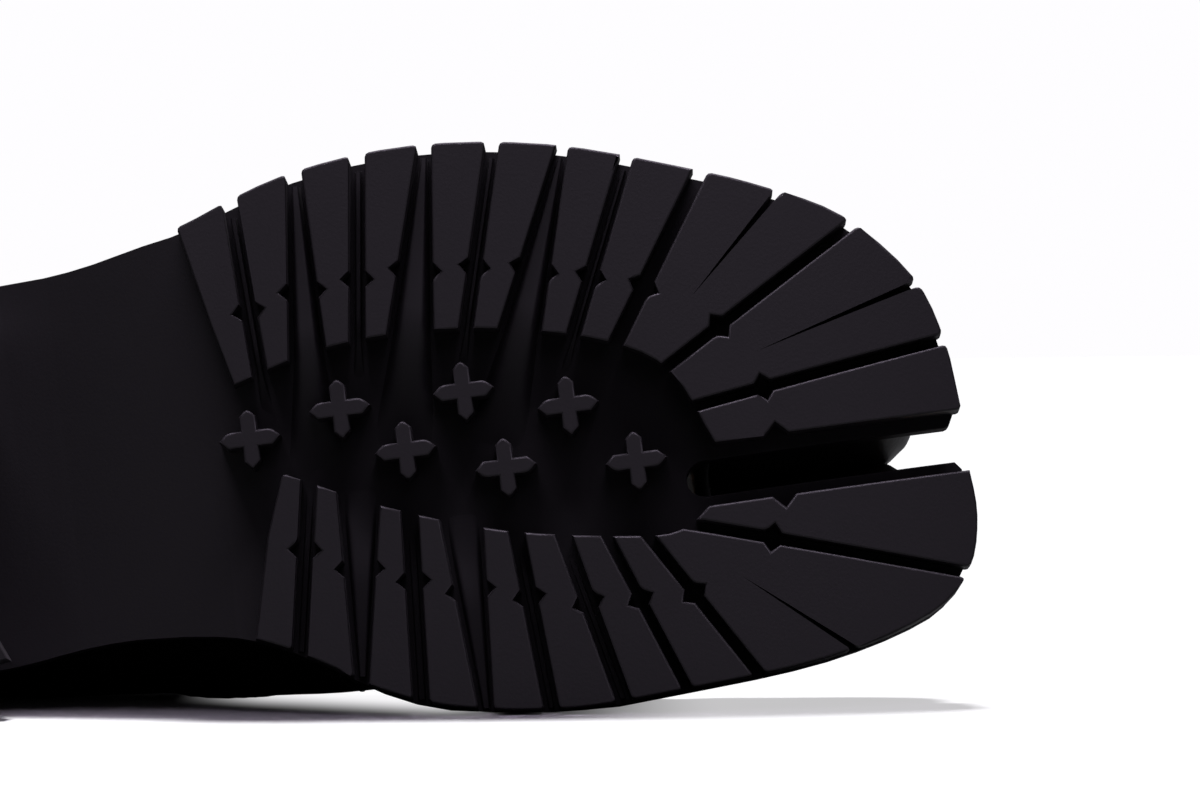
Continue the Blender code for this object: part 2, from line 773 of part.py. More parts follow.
def vamp_row(x, side):
    """Points from one lower edge up to the ridge, dipping into the cleft between the toes."""
    cleft = float(smooth_step(CLEFT_START, WEB, x)) ** CLEFT_SHARPNESS
    lobe = MEDIAL_LOBE if side > 0 else LATERAL_LOBE
    row = []
    for column in range(COLUMNS + 1):
        turn = column_turn(x, column)
        place = leaned(x, turn)
        whole = arch_point(place, turn if side > 0 else math.pi - turn)
        if cleft > 0.0:
            share = column / COLUMNS
            split = lobe_point(lobe, x, share if side > 0 else 1.0 - share, side)
            whole = whole + (split - whole) * cleft
        row.append(whole)
    return row


def lobe_row(x, side):
    """Points over one toe lobe, from its outer lower edge to the cleft."""
    lobe = MEDIAL_LOBE if side > 0 else LATERAL_LOBE
    shares = [column / COLUMNS for column in range(COLUMNS + 1)]
    return [lobe_point(lobe, x, share if side > 0 else 1.0 - share, side) for share in shares]


def collar_point(station, side):
    """Top edge of the upper: the facing's edge in front, then the collar round to the heel."""
    if station >= FACING_TOP:
        return arch_point(station, facing_turn(station, side))
    front = arch_point(FACING_TOP, facing_turn(FACING_TOP, side))
    corner = Collar(FACING_TOP, front[1], front[1], front[2])
    rows = COLLAR + [corner]
    column = 1 if side > 0 else 2
    if station >= HEEL_ARC:
        return np.array([station, lookup(rows, station, column), lookup(rows, station, 3)])
    turn = (1.0 - station / HEEL_ARC) * math.pi / 2
    back = COLLAR_BACK
    x = HEEL_ARC - (HEEL_ARC - back.x) * math.sin(turn)
    height = COLLAR[0].height + (back.height - COLLAR[0].height) * math.sin(turn)
    return np.array([x, COLLAR[0][column] * math.cos(turn), height])


def quarter_column(station, side):
    """Points from the upper's lower edge to its top edge, behind the throat and round the heel."""
    top = collar_point(station, side)
    if station >= HEEL_ARC:
        low = np.array([station, feather(station, side), float(feather_height(station))])
        away = np.array([0.0, side, 0.0])
        swell = BEND_SWELL * lookup(BULGE, station, 1 if side > 0 else 2)
    else:
        turn = (1.0 - station / HEEL_ARC) * math.pi / 2
        x = HEEL_ARC - (HEEL_ARC - HEEL_INSET) * math.sin(turn)
        y = side * (HEEL_HALF_WIDTH - HEEL_INSET) * math.cos(turn)
        low = np.array([x, y, float(feather_height(x))])
        away = np.array([-math.sin(turn), side * math.cos(turn), 0.0])
        side_swell = BEND_SWELL * BULGE[0].medial
        swell = side_swell + (HEEL_BACK_BULGE - side_swell) * math.sin(turn)
    bend = (1.0 - BEND_INWARD) * low + BEND_INWARD * top + swell * away
    front = float(smooth_step(BEND_FRONT, FACING_TOP, station))
    bend[2] = low[2] + (BEND_RISE + (BEND_RISE_FRONT - BEND_RISE) * front) * (top[2] - low[2])
    arched = float(smooth_step(FACING_TOP, FACING_TOP + COLLAR_BLEND, station))
    points = []
    for column in range(FACING_COLUMN + 1):
        share = column / FACING_COLUMN
        point = (1 - share) ** 2 * low + 2 * share * (1 - share) * bend + share**2 * top
        if arched > 0.0:
            turn = column_turn(station, column)
            arch = arch_point(leaned(station, turn), turn if side > 0 else math.pi - turn)
            point = point + (arch - point) * arched
        points.append(point)
    return points


class Sheet:
    """A surface of four-sided cells that becomes a solid wall."""

    def __init__(self):
        self.points = []
        self.raised = []
        self.cells = []
        self.index = {}

    def add_row(self, points, raised):
        """Adds a row of points, raised by a panel's thickness, and returns their numbers."""
        row = []
        for point in points:
            key = tuple(np.round(point, 2))
            if key not in self.index:
                self.index[key] = len(self.points)
                self.points.append(Vector(point))
                self.raised.append(raised)
            row.append(self.index[key])
        return row

    def join(self, first, second, flip):
        """Adds the cells between two rows."""
        for a, b, c, d in zip(first, first[1:], second[1:], second):
            cell = (d, c, b, a) if flip else (a, b, c, d)
            cell = tuple(dict.fromkeys(cell))
            if len(cell) > 2:
                self.cells.append(cell)

    def wall(self, name, outer, inner, finish, grounded=False):
        """The solid between two offsets from the surface; a grounded one keeps its lower edge level."""
        shape = bmesh.new()
        middle = [shape.verts.new(point) for point in self.points]
        faces = [shape.faces.new([middle[i] for i in cell]) for cell in self.cells]
        shape.normal_update()
        shape.verts.index_update()
        rim = []
        for face in faces:
            for loop in face.loops:
                if loop.edge.is_boundary:
                    rim.append((loop.vert.index, loop.link_loop_next.vert.index))
        normals = [vert.normal.copy() for vert in middle]
        shape.free()

        shape = bmesh.new()
        sides = []
        edge_points = {i for pair in rim for i in pair}
        for offset, keeps_panel in ((outer, 1.0), (inner, 0.0)):
            verts = []
            for i, (point, normal) in enumerate(zip(self.points, normals)):
                moved = point + normal * (offset + keeps_panel * self.raised[i])
                if grounded and i in edge_points and point.z < feather_height(point.x) + JOIN_GAP:
                    moved.z = point.z
                verts.append(shape.verts.new(moved))
            sides.append(verts)
        outside, inside = sides
        for cell in self.cells:
            shape.faces.new([outside[i] for i in cell])
            shape.faces.new([inside[i] for i in reversed(cell)])
        for i, j in rim:
            shape.faces.new((outside[j], outside[i], inside[i], inside[j]))
        piece = object_from(name, shape, finish)
        piece.data.shade_smooth()
        piece.data.set_sharp_from_angle(angle=math.radians(SHARP_DEG))
        return piece


def make_upper():
    """Hollow leather upper: quarters and vamp in one wall, with a toe lobe on each side of the cleft."""
    sheet = Sheet()
    rows = [*np.linspace(THROAT, QUARTER_EDGE - PANEL_RUN, PANEL_ROWS), QUARTER_EDGE]
    rows += [*np.linspace(QUARTER_EDGE + PANEL_CLEAR, CLEFT_START, VAMP_ROWS)]
    rows += [*np.linspace(CLEFT_START, WEB, CLEFT_ROWS)[1:]]
    stations = [*np.linspace(THROAT, FACING_TOP, FACING_ROWS)]
    stations += [*np.linspace(FACING_TOP, HEEL_ARC, COLLAR_ROWS)[1:]]
    stations += [*np.linspace(HEEL_ARC, 0.0, HEEL_ROWS)[1:]]
    ridges = {}
    for side in (1, -1):
        previous = None
        ridges[side] = []
        for x in rows:
            row = sheet.add_row(vamp_row(x, side), OVERLAY if x < QUARTER_EDGE else 0.0)
            if previous:
                sheet.join(previous, row, flip=side < 0)
            previous = row
            ridges[side].append(row[-1])
        lobe = MEDIAL_LOBE if side > 0 else LATERAL_LOBE
        for turn in np.linspace(0.0, math.pi / 2, LOBE_ROWS)[1:]:
            x = WEB + (lobe.tip_x - WEB) * math.sin(turn)
            row = sheet.add_row(lobe_row(x, side), 0.0)
            sheet.join(previous, row, flip=side < 0)
            previous = row
        previous = None
        for station in stations:
            row = sheet.add_row(quarter_column(station, side), OVERLAY)
            if previous:
                sheet.join(previous, row, flip=side > 0)
            previous = row
    sheet.join(ridges[1], ridges[-1], flip=True)
    return sheet.wall("upper", 0.0, -WALL, BLACK_LEATHER, grounded=True)


def insole_lobe(lobe, side):
    """Plan of the insole in one toe lobe, from its outer side round the tip and back to the slot."""
    stations = np.linspace(WEB, lobe.tip_x - INSOLE_TIP, INSOLE_LOBE_ROWS)
    outer = [(x, lobe_sides(lobe, x, side)[0] - side * INSOLE_LOBE_INSET) for x in stations]
    inner = [(x, lobe_sides(lobe, x, side)[1] + side * INSOLE_LOBE_INSET) for x in stations]
    root = [(INSOLE_SLOT_END, lobe.wall_y + side * INSOLE_LOBE_INSET)]
    return outer + inner[::-1] + root


def make_insole():
    """Insole that lies on the midsole inside the upper."""
    def inset(x):
        return upper_inset(x) + INSOLE_INSET

    medial, lateral = [side_edge(rows, inset) for rows in (MEDIAL_EDGE, LATERAL_EDGE)]
    outline = np.vstack(
        [
            medial[medial[:, 0] < INSOLE_LOBE_START],
            insole_lobe(MEDIAL_LOBE, 1),
            insole_lobe(LATERAL_LOBE, -1)[::-1],
            lateral[lateral[:, 0] < INSOLE_LOBE_START][:0:-1],
        ]
    )
    return layer(
        "insole",
        outline,
        feather_height,
        lambda x: feather_height(x) + INSOLE_THICKNESS,
        LINING_LEATHER,
    )


def turn_at(x, away):
    """Turn of the arched section at a distance from its ridge, towards the medial side where positive."""
    half = (feather(x, 1) - feather(x, -1)) / 2
    reach = math.copysign((abs(away) / half) ** (1.0 / ROUND), away)
    return math.acos(reach)


def arch_normal(x, turn):
    """Outward direction of the arched section's surface."""
    step = 0.01
    across = arch_point(x, turn + step) - arch_point(x, turn - step)
    along = arch_point(x + step, turn) - arch_point(x - step, turn)
    normal = np.cross(across, along)
    return normal / np.linalg.norm(normal)


def make_tongue():
    """Leather tongue that lies under the facings and comes out above them."""
    sheet = Sheet()
    previous = None
    for x in np.linspace(TONGUE[0].x, TONGUE[-1].x, TONGUE_ROWS):
        half = lookup(TONGUE, x)
        shares = np.linspace(1.0, -1.0, TONGUE_COLUMNS)
        row = sheet.add_row([arch_point(x, turn_at(x, half * share)) for share in shares], 0.0)
        if previous:
            sheet.join(previous, row, flip=False)
        previous = row
    outer = -(WALL + JOIN_GAP + TONGUE_CLEAR)
    return sheet.wall("tongue", outer, outer - TONGUE_THICKNESS, BLACK_LEATHER)


def make_eyelet(name, station, side):
    """A rolled metal eyelet on a facing."""
    turn = turn_at(station, side * (FACING_GAP + EYELET_SETBACK))
    normal = arch_normal(station, turn)
    place = arch_point(station, turn) + normal * (OVERLAY + JOIN_GAP)
    middle = (EYELET_OUTER + EYELET_INNER) / 2
    profile = [
        (EYELET_OUTER, 0.0),
        (middle, EYELET_HEIGHT),
        (EYELET_INNER, 0.0),
    ]
    shape = bmesh.new()
    rings = []
    for step in range(EYELET_SIDES):
        around = 2 * math.pi * step / EYELET_SIDES
        rings.append(
            [shape.verts.new((r * math.cos(around), r * math.sin(around), z)) for r, z in profile]
        )
    for ring, following in zip(rings, rings[1:] + rings[:1]):
        for i, j in zip(range(len(profile)), [*range(1, len(profile)), 0]):
            shape.faces.new((ring[i], following[i], following[j], ring[j]))
    bmesh.ops.recalc_face_normals(shape, faces=shape.faces)
    eyelet = object_from(name, shape, BLACK_METAL)
    eyelet.location = Vector(place) * MM
    eyelet.rotation_euler = Vector(normal).to_track_quat("Z", "Y").to_euler()
    eyelet.data.shade_smooth()
    return eyelet


def make_lace_bar(name, station):
    """One bar of the lace, out of one eyelet, over the tongue and into the opposite one."""
    path = LACE_PATH + [LaceStep(-step.away, step.height) for step in LACE_PATH[-2::-1]]
    points = []
    for away, height in path:
        turn = turn_at(station, away)
        points.append(arch_point(station, turn) + height * arch_normal(station, turn))
    curve = bpy.data.curves.new(name, "CURVE")
    curve.dimensions = "3D"
    curve.bevel_depth = LACE_RADIUS * MM
    curve.bevel_resolution = 2
    curve.use_fill_caps = True
    spline = curve.splines.new("POLY")
    spline.points.add(len(points) - 1)
    for knot, point in zip(spline.points, points):
        knot.co = (*(point * MM), 1.0)
    bar = bpy.data.objects.new(name, curve)
    bpy.context.scene.collection.objects.link(bar)
    dress(bar, WAXED_COTTON)
    return bar


def resting_turn(points):
    """Rotation that lays the side under the balance point on the floor, keeping the toe towards +x."""
    hull = bmesh.new()
    for point in points:
        hull.verts.new(point)
    bmesh.ops.convex_hull(hull, input=hull.verts)
    bmesh.ops.recalc_face_normals(hull, faces=hull.faces)
    balance = Vector(BALANCE_POINT) * MM
    for face in hull.faces:
        corners = [vert.co for vert in face.verts]
        if face.normal.y > INWARD_SHARE and intersect_ray_tri(*corners[:3], face.normal, balance):
            down = face.normal.copy()
            break
    hull.free()
    up = -down
    forward = Vector((1.0, 0.0, 0.0))
    forward = (forward - forward.project(up)).normalized()
    return Matrix((forward, up.cross(forward), up))


def lay_down(pieces):
    """Parents every piece to one empty that rests the shoe on its inner side, over the origin."""
    bpy.context.view_layer.update()
    graph = bpy.context.evaluated_depsgraph_get()
    points = []
    for piece in pieces:
        evaluated = piece.evaluated_get(graph)
        mesh = evaluated.to_mesh()
        points += [piece.matrix_world @ vert.co for vert in mesh.vertices]
        evaluated.to_mesh_clear()
    turn = resting_turn(points)
    turned = np.array([turn @ point for point in points])
    low, high = turned.min(axis=0), turned.max(axis=0)
    shift = Vector((-(low[0] + high[0]) / 2, -(low[1] + high[1]) / 2, -low[2]))
    rest = bpy.data.objects.new("resting_pose", None)
    bpy.context.scene.collection.objects.link(rest)
    rest.matrix_world = Matrix.Translation(shift) @ turn.to_4x4()
    for piece in bpy.context.scene.objects:
        if piece is not rest:
            piece.parent = rest


def main():
    for piece in list(bpy.data.objects):
        bpy.data.objects.remove(piece)
    pieces = [make_outsole(), make_heel(), make_midsole(), make_insole(), make_upper(), make_tongue()]
    for number, station in enumerate(EYELET_STATIONS, 1):
        pieces.append(make_eyelet(f"eyelet_medial_{number}", station, 1))
        pieces.append(make_eyelet(f"eyelet_lateral_{number}", station, -1))
        pieces.append(make_lace_bar(f"lace_bar_{number}", station))
    lay_down(pieces)


if __name__ == "__main__":
    main()
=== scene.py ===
"""Looks of a split-toe lace-up shoe that lies on its inner side with its sole to the camera.

Places are given in the standing shoe's own millimetres: x runs from the back of the heel to the toe, y to
the inner side and z up from the tread. ShoeAxes carries them into the lying model.
"""

import json
import logging
import math
from collections.abc import Callable
from dataclasses import dataclass
from enum import Enum
from typing import NamedTuple

import bmesh
import bpy
import numpy as np
from mathutils import Matrix, Vector
from mathutils.bvhtree import BVHTree


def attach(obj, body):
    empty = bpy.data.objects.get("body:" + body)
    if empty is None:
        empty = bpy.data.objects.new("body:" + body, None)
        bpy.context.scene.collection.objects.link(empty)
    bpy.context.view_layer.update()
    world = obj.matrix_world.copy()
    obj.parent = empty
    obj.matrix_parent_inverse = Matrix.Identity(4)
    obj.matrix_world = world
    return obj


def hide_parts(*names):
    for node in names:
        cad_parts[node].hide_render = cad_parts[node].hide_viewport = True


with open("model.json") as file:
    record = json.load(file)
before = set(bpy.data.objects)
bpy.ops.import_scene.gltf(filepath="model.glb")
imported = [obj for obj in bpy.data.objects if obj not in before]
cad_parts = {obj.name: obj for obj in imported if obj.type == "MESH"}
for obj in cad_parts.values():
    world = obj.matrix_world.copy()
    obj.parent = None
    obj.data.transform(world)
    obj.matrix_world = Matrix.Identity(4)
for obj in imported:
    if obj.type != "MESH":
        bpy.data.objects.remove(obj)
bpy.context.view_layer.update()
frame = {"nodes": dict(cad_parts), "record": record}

LOG = logging.getLogger("split_toe_shoe")
MM = 0.001
BODY = "root"
# Attribute of the rubber: how much of a surface is tread face, and not hollow; it sets the faces' paler
# finish and darkens the hollows as painted shade
FACE_AND_HOLLOW_SHADE = "face_and_hollow_shade"
# The slot between the toes: its middle, and how far its walls lie from it
SLOT_CENTRE = 15.95
SLOT_REACH = 5.0
# Points of a CAD mesh that lie closer than this, in millimetres, are one
SAME_POINT = 0.01
# Faces that meet at less than this angle become one: in the sole's layers, and where all faces are kept
LAYER_FLAT_DEG = 0.6
KEPT_FLAT_DEG = 0.01
# Rounds in which a subdivided mesh is pulled back to its own points
FIT_ROUNDS = 3
# Faces across a rounded edge
ROUND_FACES = 2
# Weight of large faces in the shading
LARGE_FACES = 80
# Bands of a wave texture to a unit of its scale, about
WAVE_BANDS = 3.0
# Sockets of a Mix node for its two colours and for what they give
MIX_FIRST = 6
MIX_SECOND = 7
MIX_RESULT = 2


class Slot(Enum):
    """Material slots of the record."""

    RUBBER = "rubber"
    BLACK_LEATHER = "black_leather"
    TAN_LEATHER = "tan_leather"
    LINING = "lining_leather"
    EYELET = "eyelet_metal"
    LACE = "lace_cotton"


class Side(Enum):
    """Sides of the shoe, by the sign of y."""

    MEDIAL = 1
    LATERAL = -1


def linear(colour: str) -> tuple[float, float, float, float]:
    """Turns an sRGB hex colour to linear values.

    Args:
        colour: Six hex digits after a hash.

    Returns:
        Red, green, blue and a full alpha.
    """
    shares = [int(colour[i : i + 2], 16) / 255 for i in (1, 3, 5)]
    red, green, blue = [s / 12.92 if s <= 0.04045 else ((s + 0.055) / 1.055) ** 2.4 for s in shares]
    return red, green, blue, 1.0


def per_mm(size_mm: float) -> float:
    """Texture scale whose features are about this many millimetres wide."""
    return 1.0 / (size_mm * MM)


def smooth_step(low: float, high: float, value: np.ndarray | float) -> np.ndarray:
    """0 below low, 1 above high, and an even S-curve between them."""
    share = np.clip((np.asarray(value, float) - low) / (high - low), 0.0, 1.0)
    return share * share * (3.0 - 2.0 * share)


def add_node(
    tree: bpy.types.NodeTree, kind: str, settings: dict | None = None, links: dict | None = None
) -> bpy.types.Node:
    """Adds a shader node.

    Args:
        tree: Node tree that gets the node.
        kind: Blender's name of the node type.
        settings: Values of its properties or input sockets, by name or by socket number.
        links: Output socket that feeds an input socket, by the input's name or number.

    Returns:
        The new node.
    """
    node = tree.nodes.new(kind)
    for name, value in (settings or {}).items():
        if isinstance(name, int) or name in node.inputs:
            node.inputs[name].default_value = value
        else:
            setattr(node, name, value)
    for name, source in (links or {}).items():
        tree.links.new(source, node.inputs[name])
    return node


def new_material(name: str) -> tuple[bpy.types.Material, bpy.types.NodeTree, bpy.types.Node]:
    """Makes an empty procedural material.

    Args:
        name: Common name of the real material.

    Returns:
        The material, its node tree and its Principled shader.
    """
    material = bpy.data.materials.new(name)
    material.use_nodes = True
    tree = material.node_tree
    return material, tree, tree.nodes["Principled BSDF"]


@dataclass(frozen=True)
class MouldedRubber:
    """Black sole rubber: dull and deep black in the mould's hollows, greyer and satin on its faces; the deep
    black of the hollows is partly painted shade.
    """

    # Tone of the hollows, darkened in part as painted shade, and tone of the faces
    dark: str = "#0f0c10"
    pale: str = "#1d191e"
    face_and_shade_attribute: str = FACE_AND_HOLLOW_SHADE
    cloud_mm: float = 34.0
    cloud_share: float = 0.22
    # Coarser than the real mould grit, which is too fine to show
    grit_mm: float = 0.55
    grit_depth_mm: float = 0.035
    roughness: tuple[float, float] = (0.6, 0.42)
    specular: tuple[float, float] = (0.16, 0.5)

    def material(self) -> bpy.types.Material:
        """Builds the material.

        Returns:
            The material.
        """
        material, tree, shader = new_material("moulded_rubber")
        place = add_node(tree, "ShaderNodeTexCoord").outputs["Object"]
        cloud = add_node(
            tree, "ShaderNodeTexNoise", {"Scale": per_mm(self.cloud_mm), "Detail": 4.0}, {"Vector": place}
        )
        grit = add_node(
            tree, "ShaderNodeTexNoise", {"Scale": per_mm(self.grit_mm), "Detail": 2.0}, {"Vector": place}
        )
        face = add_node(tree, "ShaderNodeAttribute", {"attribute_name": self.face_and_shade_attribute})
        uneven = add_node(
            tree,
            "ShaderNodeMath",
            {"operation": "MULTIPLY_ADD", 1: self.cloud_share, 2: -0.5 * self.cloud_share},
            {0: cloud.outputs["Fac"]},
        )
        share = add_node(
            tree,
            "ShaderNodeMath",
            {"operation": "ADD", "use_clamp": True},
            {0: face.outputs["Fac"], 1: uneven.outputs["Value"]},
        )
        # Painted shade: the hollows take the darker tone, the faces the paler one
        tone = add_node(
            tree,
            "ShaderNodeMix",
            {"data_type": "RGBA", MIX_FIRST: linear(self.dark), MIX_SECOND: linear(self.pale)},
            {0: share.outputs["Value"]},
        )
        gloss = add_node(
            tree,
            "ShaderNodeMapRange",
            {"To Min": self.roughness[0], "To Max": self.roughness[1]},
            {"Value": share.outputs["Value"]},
        )
        bump = add_node(
            tree,
            "ShaderNodeBump",
            {"Strength": 0.5, "Distance": self.grit_depth_mm * MM},
            {"Height": grit.outputs["Fac"]},
        )
        sheen = add_node(
            tree,
            "ShaderNodeMapRange",
            {"To Min": self.specular[0], "To Max": self.specular[1]},
            {"Value": share.outputs["Value"]},
        )
        tree.links.new(sheen.outputs["Result"], shader.inputs["Specular IOR Level"])
        tree.links.new(tone.outputs[MIX_RESULT], shader.inputs["Base Color"])
        tree.links.new(gloss.outputs["Result"], shader.inputs["Roughness"])
        tree.links.new(bump.outputs["Normal"], shader.inputs["Normal"])
        return material


@dataclass(frozen=True)
class GrainLeather:
    """Leather with a fine pebbled grain, pores and soft changes of tone and polish."""

    name: str
    dark: str
    pale: str
    roughness: tuple[float, float]
    grain_mm: float = 1.1
    grain_depth_mm: float = 0.07
    pore_mm: float = 0.35
    pore_share: float = 0.35
    cloud_mm: float = 28.0
    cloud_span: tuple[float, float] = (0.3, 0.7)
    coat: float = 0.0
    coat_roughness: float = 0.25

    def material(self) -> bpy.types.Material:
        """Builds the material.

        Returns:
            The material.
        """
        material, tree, shader = new_material(self.name)
        place = add_node(tree, "ShaderNodeTexCoord").outputs["Object"]
        cloud = add_node(
            tree, "ShaderNodeTexNoise", {"Scale": per_mm(self.cloud_mm), "Detail": 5.0}, {"Vector": place}
        )
        grain = add_node(
            tree,
            "ShaderNodeTexVoronoi",
            {"feature": "SMOOTH_F1", "Scale": per_mm(self.grain_mm), "Smoothness": 0.6},
            {"Vector": place},
        )
        pore = add_node(
            tree, "ShaderNodeTexNoise", {"Scale": per_mm(self.pore_mm), "Detail": 3.0}, {"Vector": place}
        )
        tone = add_node(
            tree,
            "ShaderNodeMix",
            {"data_type": "RGBA", MIX_FIRST: linear(self.dark), MIX_SECOND: linear(self.pale)},
            {0: cloud.outputs["Fac"]},
        )
        gloss = add_node(
            tree,
            "ShaderNodeMapRange",
            {
                "From Min": self.cloud_span[0],
                "From Max": self.cloud_span[1],
                "To Min": self.roughness[0],
                "To Max": self.roughness[1],
            },
            {"Value": cloud.outputs["Fac"]},
        )
        relief = add_node(
            tree,
            "ShaderNodeMath",
            {"operation": "MULTIPLY_ADD", 1: self.pore_share},
            {0: pore.outputs["Fac"], 2: grain.outputs["Distance"]},
        )
        bump = add_node(
            tree,
            "ShaderNodeBump",
            {"Strength": 0.6, "Distance": self.grain_depth_mm * MM},
            {"Height": relief.outputs["Value"]},
        )
        shader.inputs["Coat Weight"].default_value = self.coat
        shader.inputs["Coat Roughness"].default_value = self.coat_roughness
        tree.links.new(tone.outputs[MIX_RESULT], shader.inputs["Base Color"])
        tree.links.new(gloss.outputs["Result"], shader.inputs["Roughness"])
        tree.links.new(bump.outputs["Normal"], shader.inputs["Normal"])
        return material


@dataclass(frozen=True)
class CutLeatherEdge:
    """Stacked sole leather, cut: pale fibres at the toe and at the mouth of its slot, near black elsewhere
    on the edge.
    """

    # Near black of the edge away from the toe and deep in the slot
    dark_edge: str = "#141316"
    fibre_dark: str = "#8a6440"
    fibre_pale: str = "#d3ab78"
    fibre_mm: float = 0.5
    fibre_depth_mm: float = 0.06
    blotch_mm: float = 6.0
    blotch_share: float = 0.5
    bare_span: tuple[float, float] = (0.25, 0.75)
    roughness: float = 0.62
    raw_attribute: str = "raw_edge"

    def material(self) -> bpy.types.Material:
        """Builds the material.

        Returns:
            The material.
        """
        material, tree, shader = new_material("cut_sole_leather")
        place = add_node(tree, "ShaderNodeTexCoord").outputs["Object"]
        fibre = add_node(
            tree,
            "ShaderNodeTexNoise",
            {"Scale": per_mm(self.fibre_mm), "Detail": 4.0, "Roughness": 0.7},
            {"Vector": place},
        )
        blotch = add_node(
            tree, "ShaderNodeTexNoise", {"Scale": per_mm(self.blotch_mm), "Detail": 2.0}, {"Vector": place}
        )
        natural = add_node(
            tree,
            "ShaderNodeMix",
            {"data_type": "RGBA", MIX_FIRST: linear(self.fibre_dark), MIX_SECOND: linear(self.fibre_pale)},
            {0: fibre.outputs["Fac"]},
        )
        raw = add_node(tree, "ShaderNodeAttribute", {"attribute_name": self.raw_attribute})
        uneven = add_node(
            tree,
            "ShaderNodeMath",
            {"operation": "MULTIPLY_ADD", 1: self.blotch_share, 2: -0.5 * self.blotch_share},
            {0: blotch.outputs["Fac"]},
        )
        share = add_node(
            tree,
            "ShaderNodeMath",
            {"operation": "ADD", "use_clamp": True},
            {0: raw.outputs["Fac"], 1: uneven.outputs["Value"]},
        )
        bare = add_node(
            tree,
            "ShaderNodeMapRange",
            {"From Min": self.bare_span[0], "From Max": self.bare_span[1]},
            {"Value": share.outputs["Value"]},
        )
        tone = add_node(
            tree,
            "ShaderNodeMix",
            {"data_type": "RGBA", MIX_FIRST: linear(self.dark_edge)},
            {0: bare.outputs["Result"], MIX_SECOND: natural.outputs[MIX_RESULT]},
        )
        bump = add_node(
            tree,
            "ShaderNodeBump",
            {"Strength": 0.5, "Distance": self.fibre_depth_mm * MM},
            {"Height": fibre.outputs["Fac"]},
        )
        shader.inputs["Roughness"].default_value = self.roughness
        tree.links.new(tone.outputs[MIX_RESULT], shader.inputs["Base Color"])
        tree.links.new(bump.outputs["Normal"], shader.inputs["Normal"])
        return material


@dataclass(frozen=True)
class TwistedYarn:
    """Cotton or polyester yarn: two sets of slanting strands that cross, with a soft nap."""

    name: str
    colour: str
    pale: str
    strand_mm: float
    depth_mm: float
    roughness: float
    sheen: float
    slant_deg: tuple[float, float] = (40.0, 25.0)

    def material(self) -> bpy.types.Material:
        """Builds the material.

        Returns:
            The material.
        """
        material, tree, shader = new_material(self.name)
        place = add_node(tree, "ShaderNodeTexCoord").outputs["Object"]
        turn_x, turn_z = map(math.radians, self.slant_deg)
        waves = []
        for slant in (1.0, -1.0):
            turned = add_node(
                tree,
                "ShaderNodeMapping",
                {"Rotation": (slant * turn_x, 0.0, slant * turn_z)},
                {"Vector": place},
            )
            waves.append(
                add_node(
                    tree,
                    "ShaderNodeTexWave",
                    {"Scale": per_mm(self.strand_mm) / WAVE_BANDS, "Distortion": 0.6, "Detail": 1.0},
                    {"Vector": turned.outputs["Vector"]},
                )
            )
        braid = add_node(
            tree,
            "ShaderNodeMath",
            {"operation": "MAXIMUM"},
            {0: waves[0].outputs["Fac"], 1: waves[1].outputs["Fac"]},
        )
        tone = add_node(
            tree,
            "ShaderNodeMix",
            {"data_type": "RGBA", MIX_FIRST: linear(self.colour), MIX_SECOND: linear(self.pale)},
            {0: braid.outputs["Value"]},
        )
        bump = add_node(
            tree,
            "ShaderNodeBump",
            {"Strength": 0.7, "Distance": self.depth_mm * MM},
            {"Height": braid.outputs["Value"]},
        )
        shader.inputs["Roughness"].default_value = self.roughness
        shader.inputs["Sheen Weight"].default_value = self.sheen
        tree.links.new(tone.outputs[MIX_RESULT], shader.inputs["Base Color"])
        tree.links.new(bump.outputs["Normal"], shader.inputs["Normal"])
        return material


@dataclass(frozen=True)
class BlackEnamel:
    """Stove-enamelled brass eyelet: a thin glossy black paint with faint handling marks."""

    dark: str = "#161618"
    pale: str = "#222225"
    mark_mm: float = 1.6
    coat: float = 0.4
    roughness: tuple[float, float] = (0.22, 0.42)

    def material(self) -> bpy.types.Material:
        """Builds the material.

        Returns:
            The material.
        """
        material, tree, shader = new_material("black_enamel")
        place = add_node(tree, "ShaderNodeTexCoord").outputs["Object"]
        mark = add_node(
            tree, "ShaderNodeTexNoise", {"Scale": per_mm(self.mark_mm), "Detail": 4.0}, {"Vector": place}
        )
        tone = add_node(
            tree,
            "ShaderNodeMix",
            {"data_type": "RGBA", MIX_FIRST: linear(self.dark), MIX_SECOND: linear(self.pale)},
            {0: mark.outputs["Fac"]},
        )
        gloss = add_node(
            tree,
            "ShaderNodeMapRange",
            {"To Min": self.roughness[0], "To Max": self.roughness[1]},
            {"Value": mark.outputs["Fac"]},
        )
        shader.inputs["Coat Weight"].default_value = self.coat
        tree.links.new(tone.outputs[MIX_RESULT], shader.inputs["Base Color"])
        tree.links.new(gloss.outputs["Result"], shader.inputs["Roughness"])
        return material


def vertex_places(mesh: bpy.types.Mesh) -> np.ndarray:
    """Reads the places of all vertices of a mesh.

    Args:
        mesh: Mesh to read.

    Returns:
        One row of three for each vertex.
    """
    places = np.empty(len(mesh.vertices) * 3, np.float32)
    mesh.vertices.foreach_get("co", places)
    return places.reshape(-1, 3)


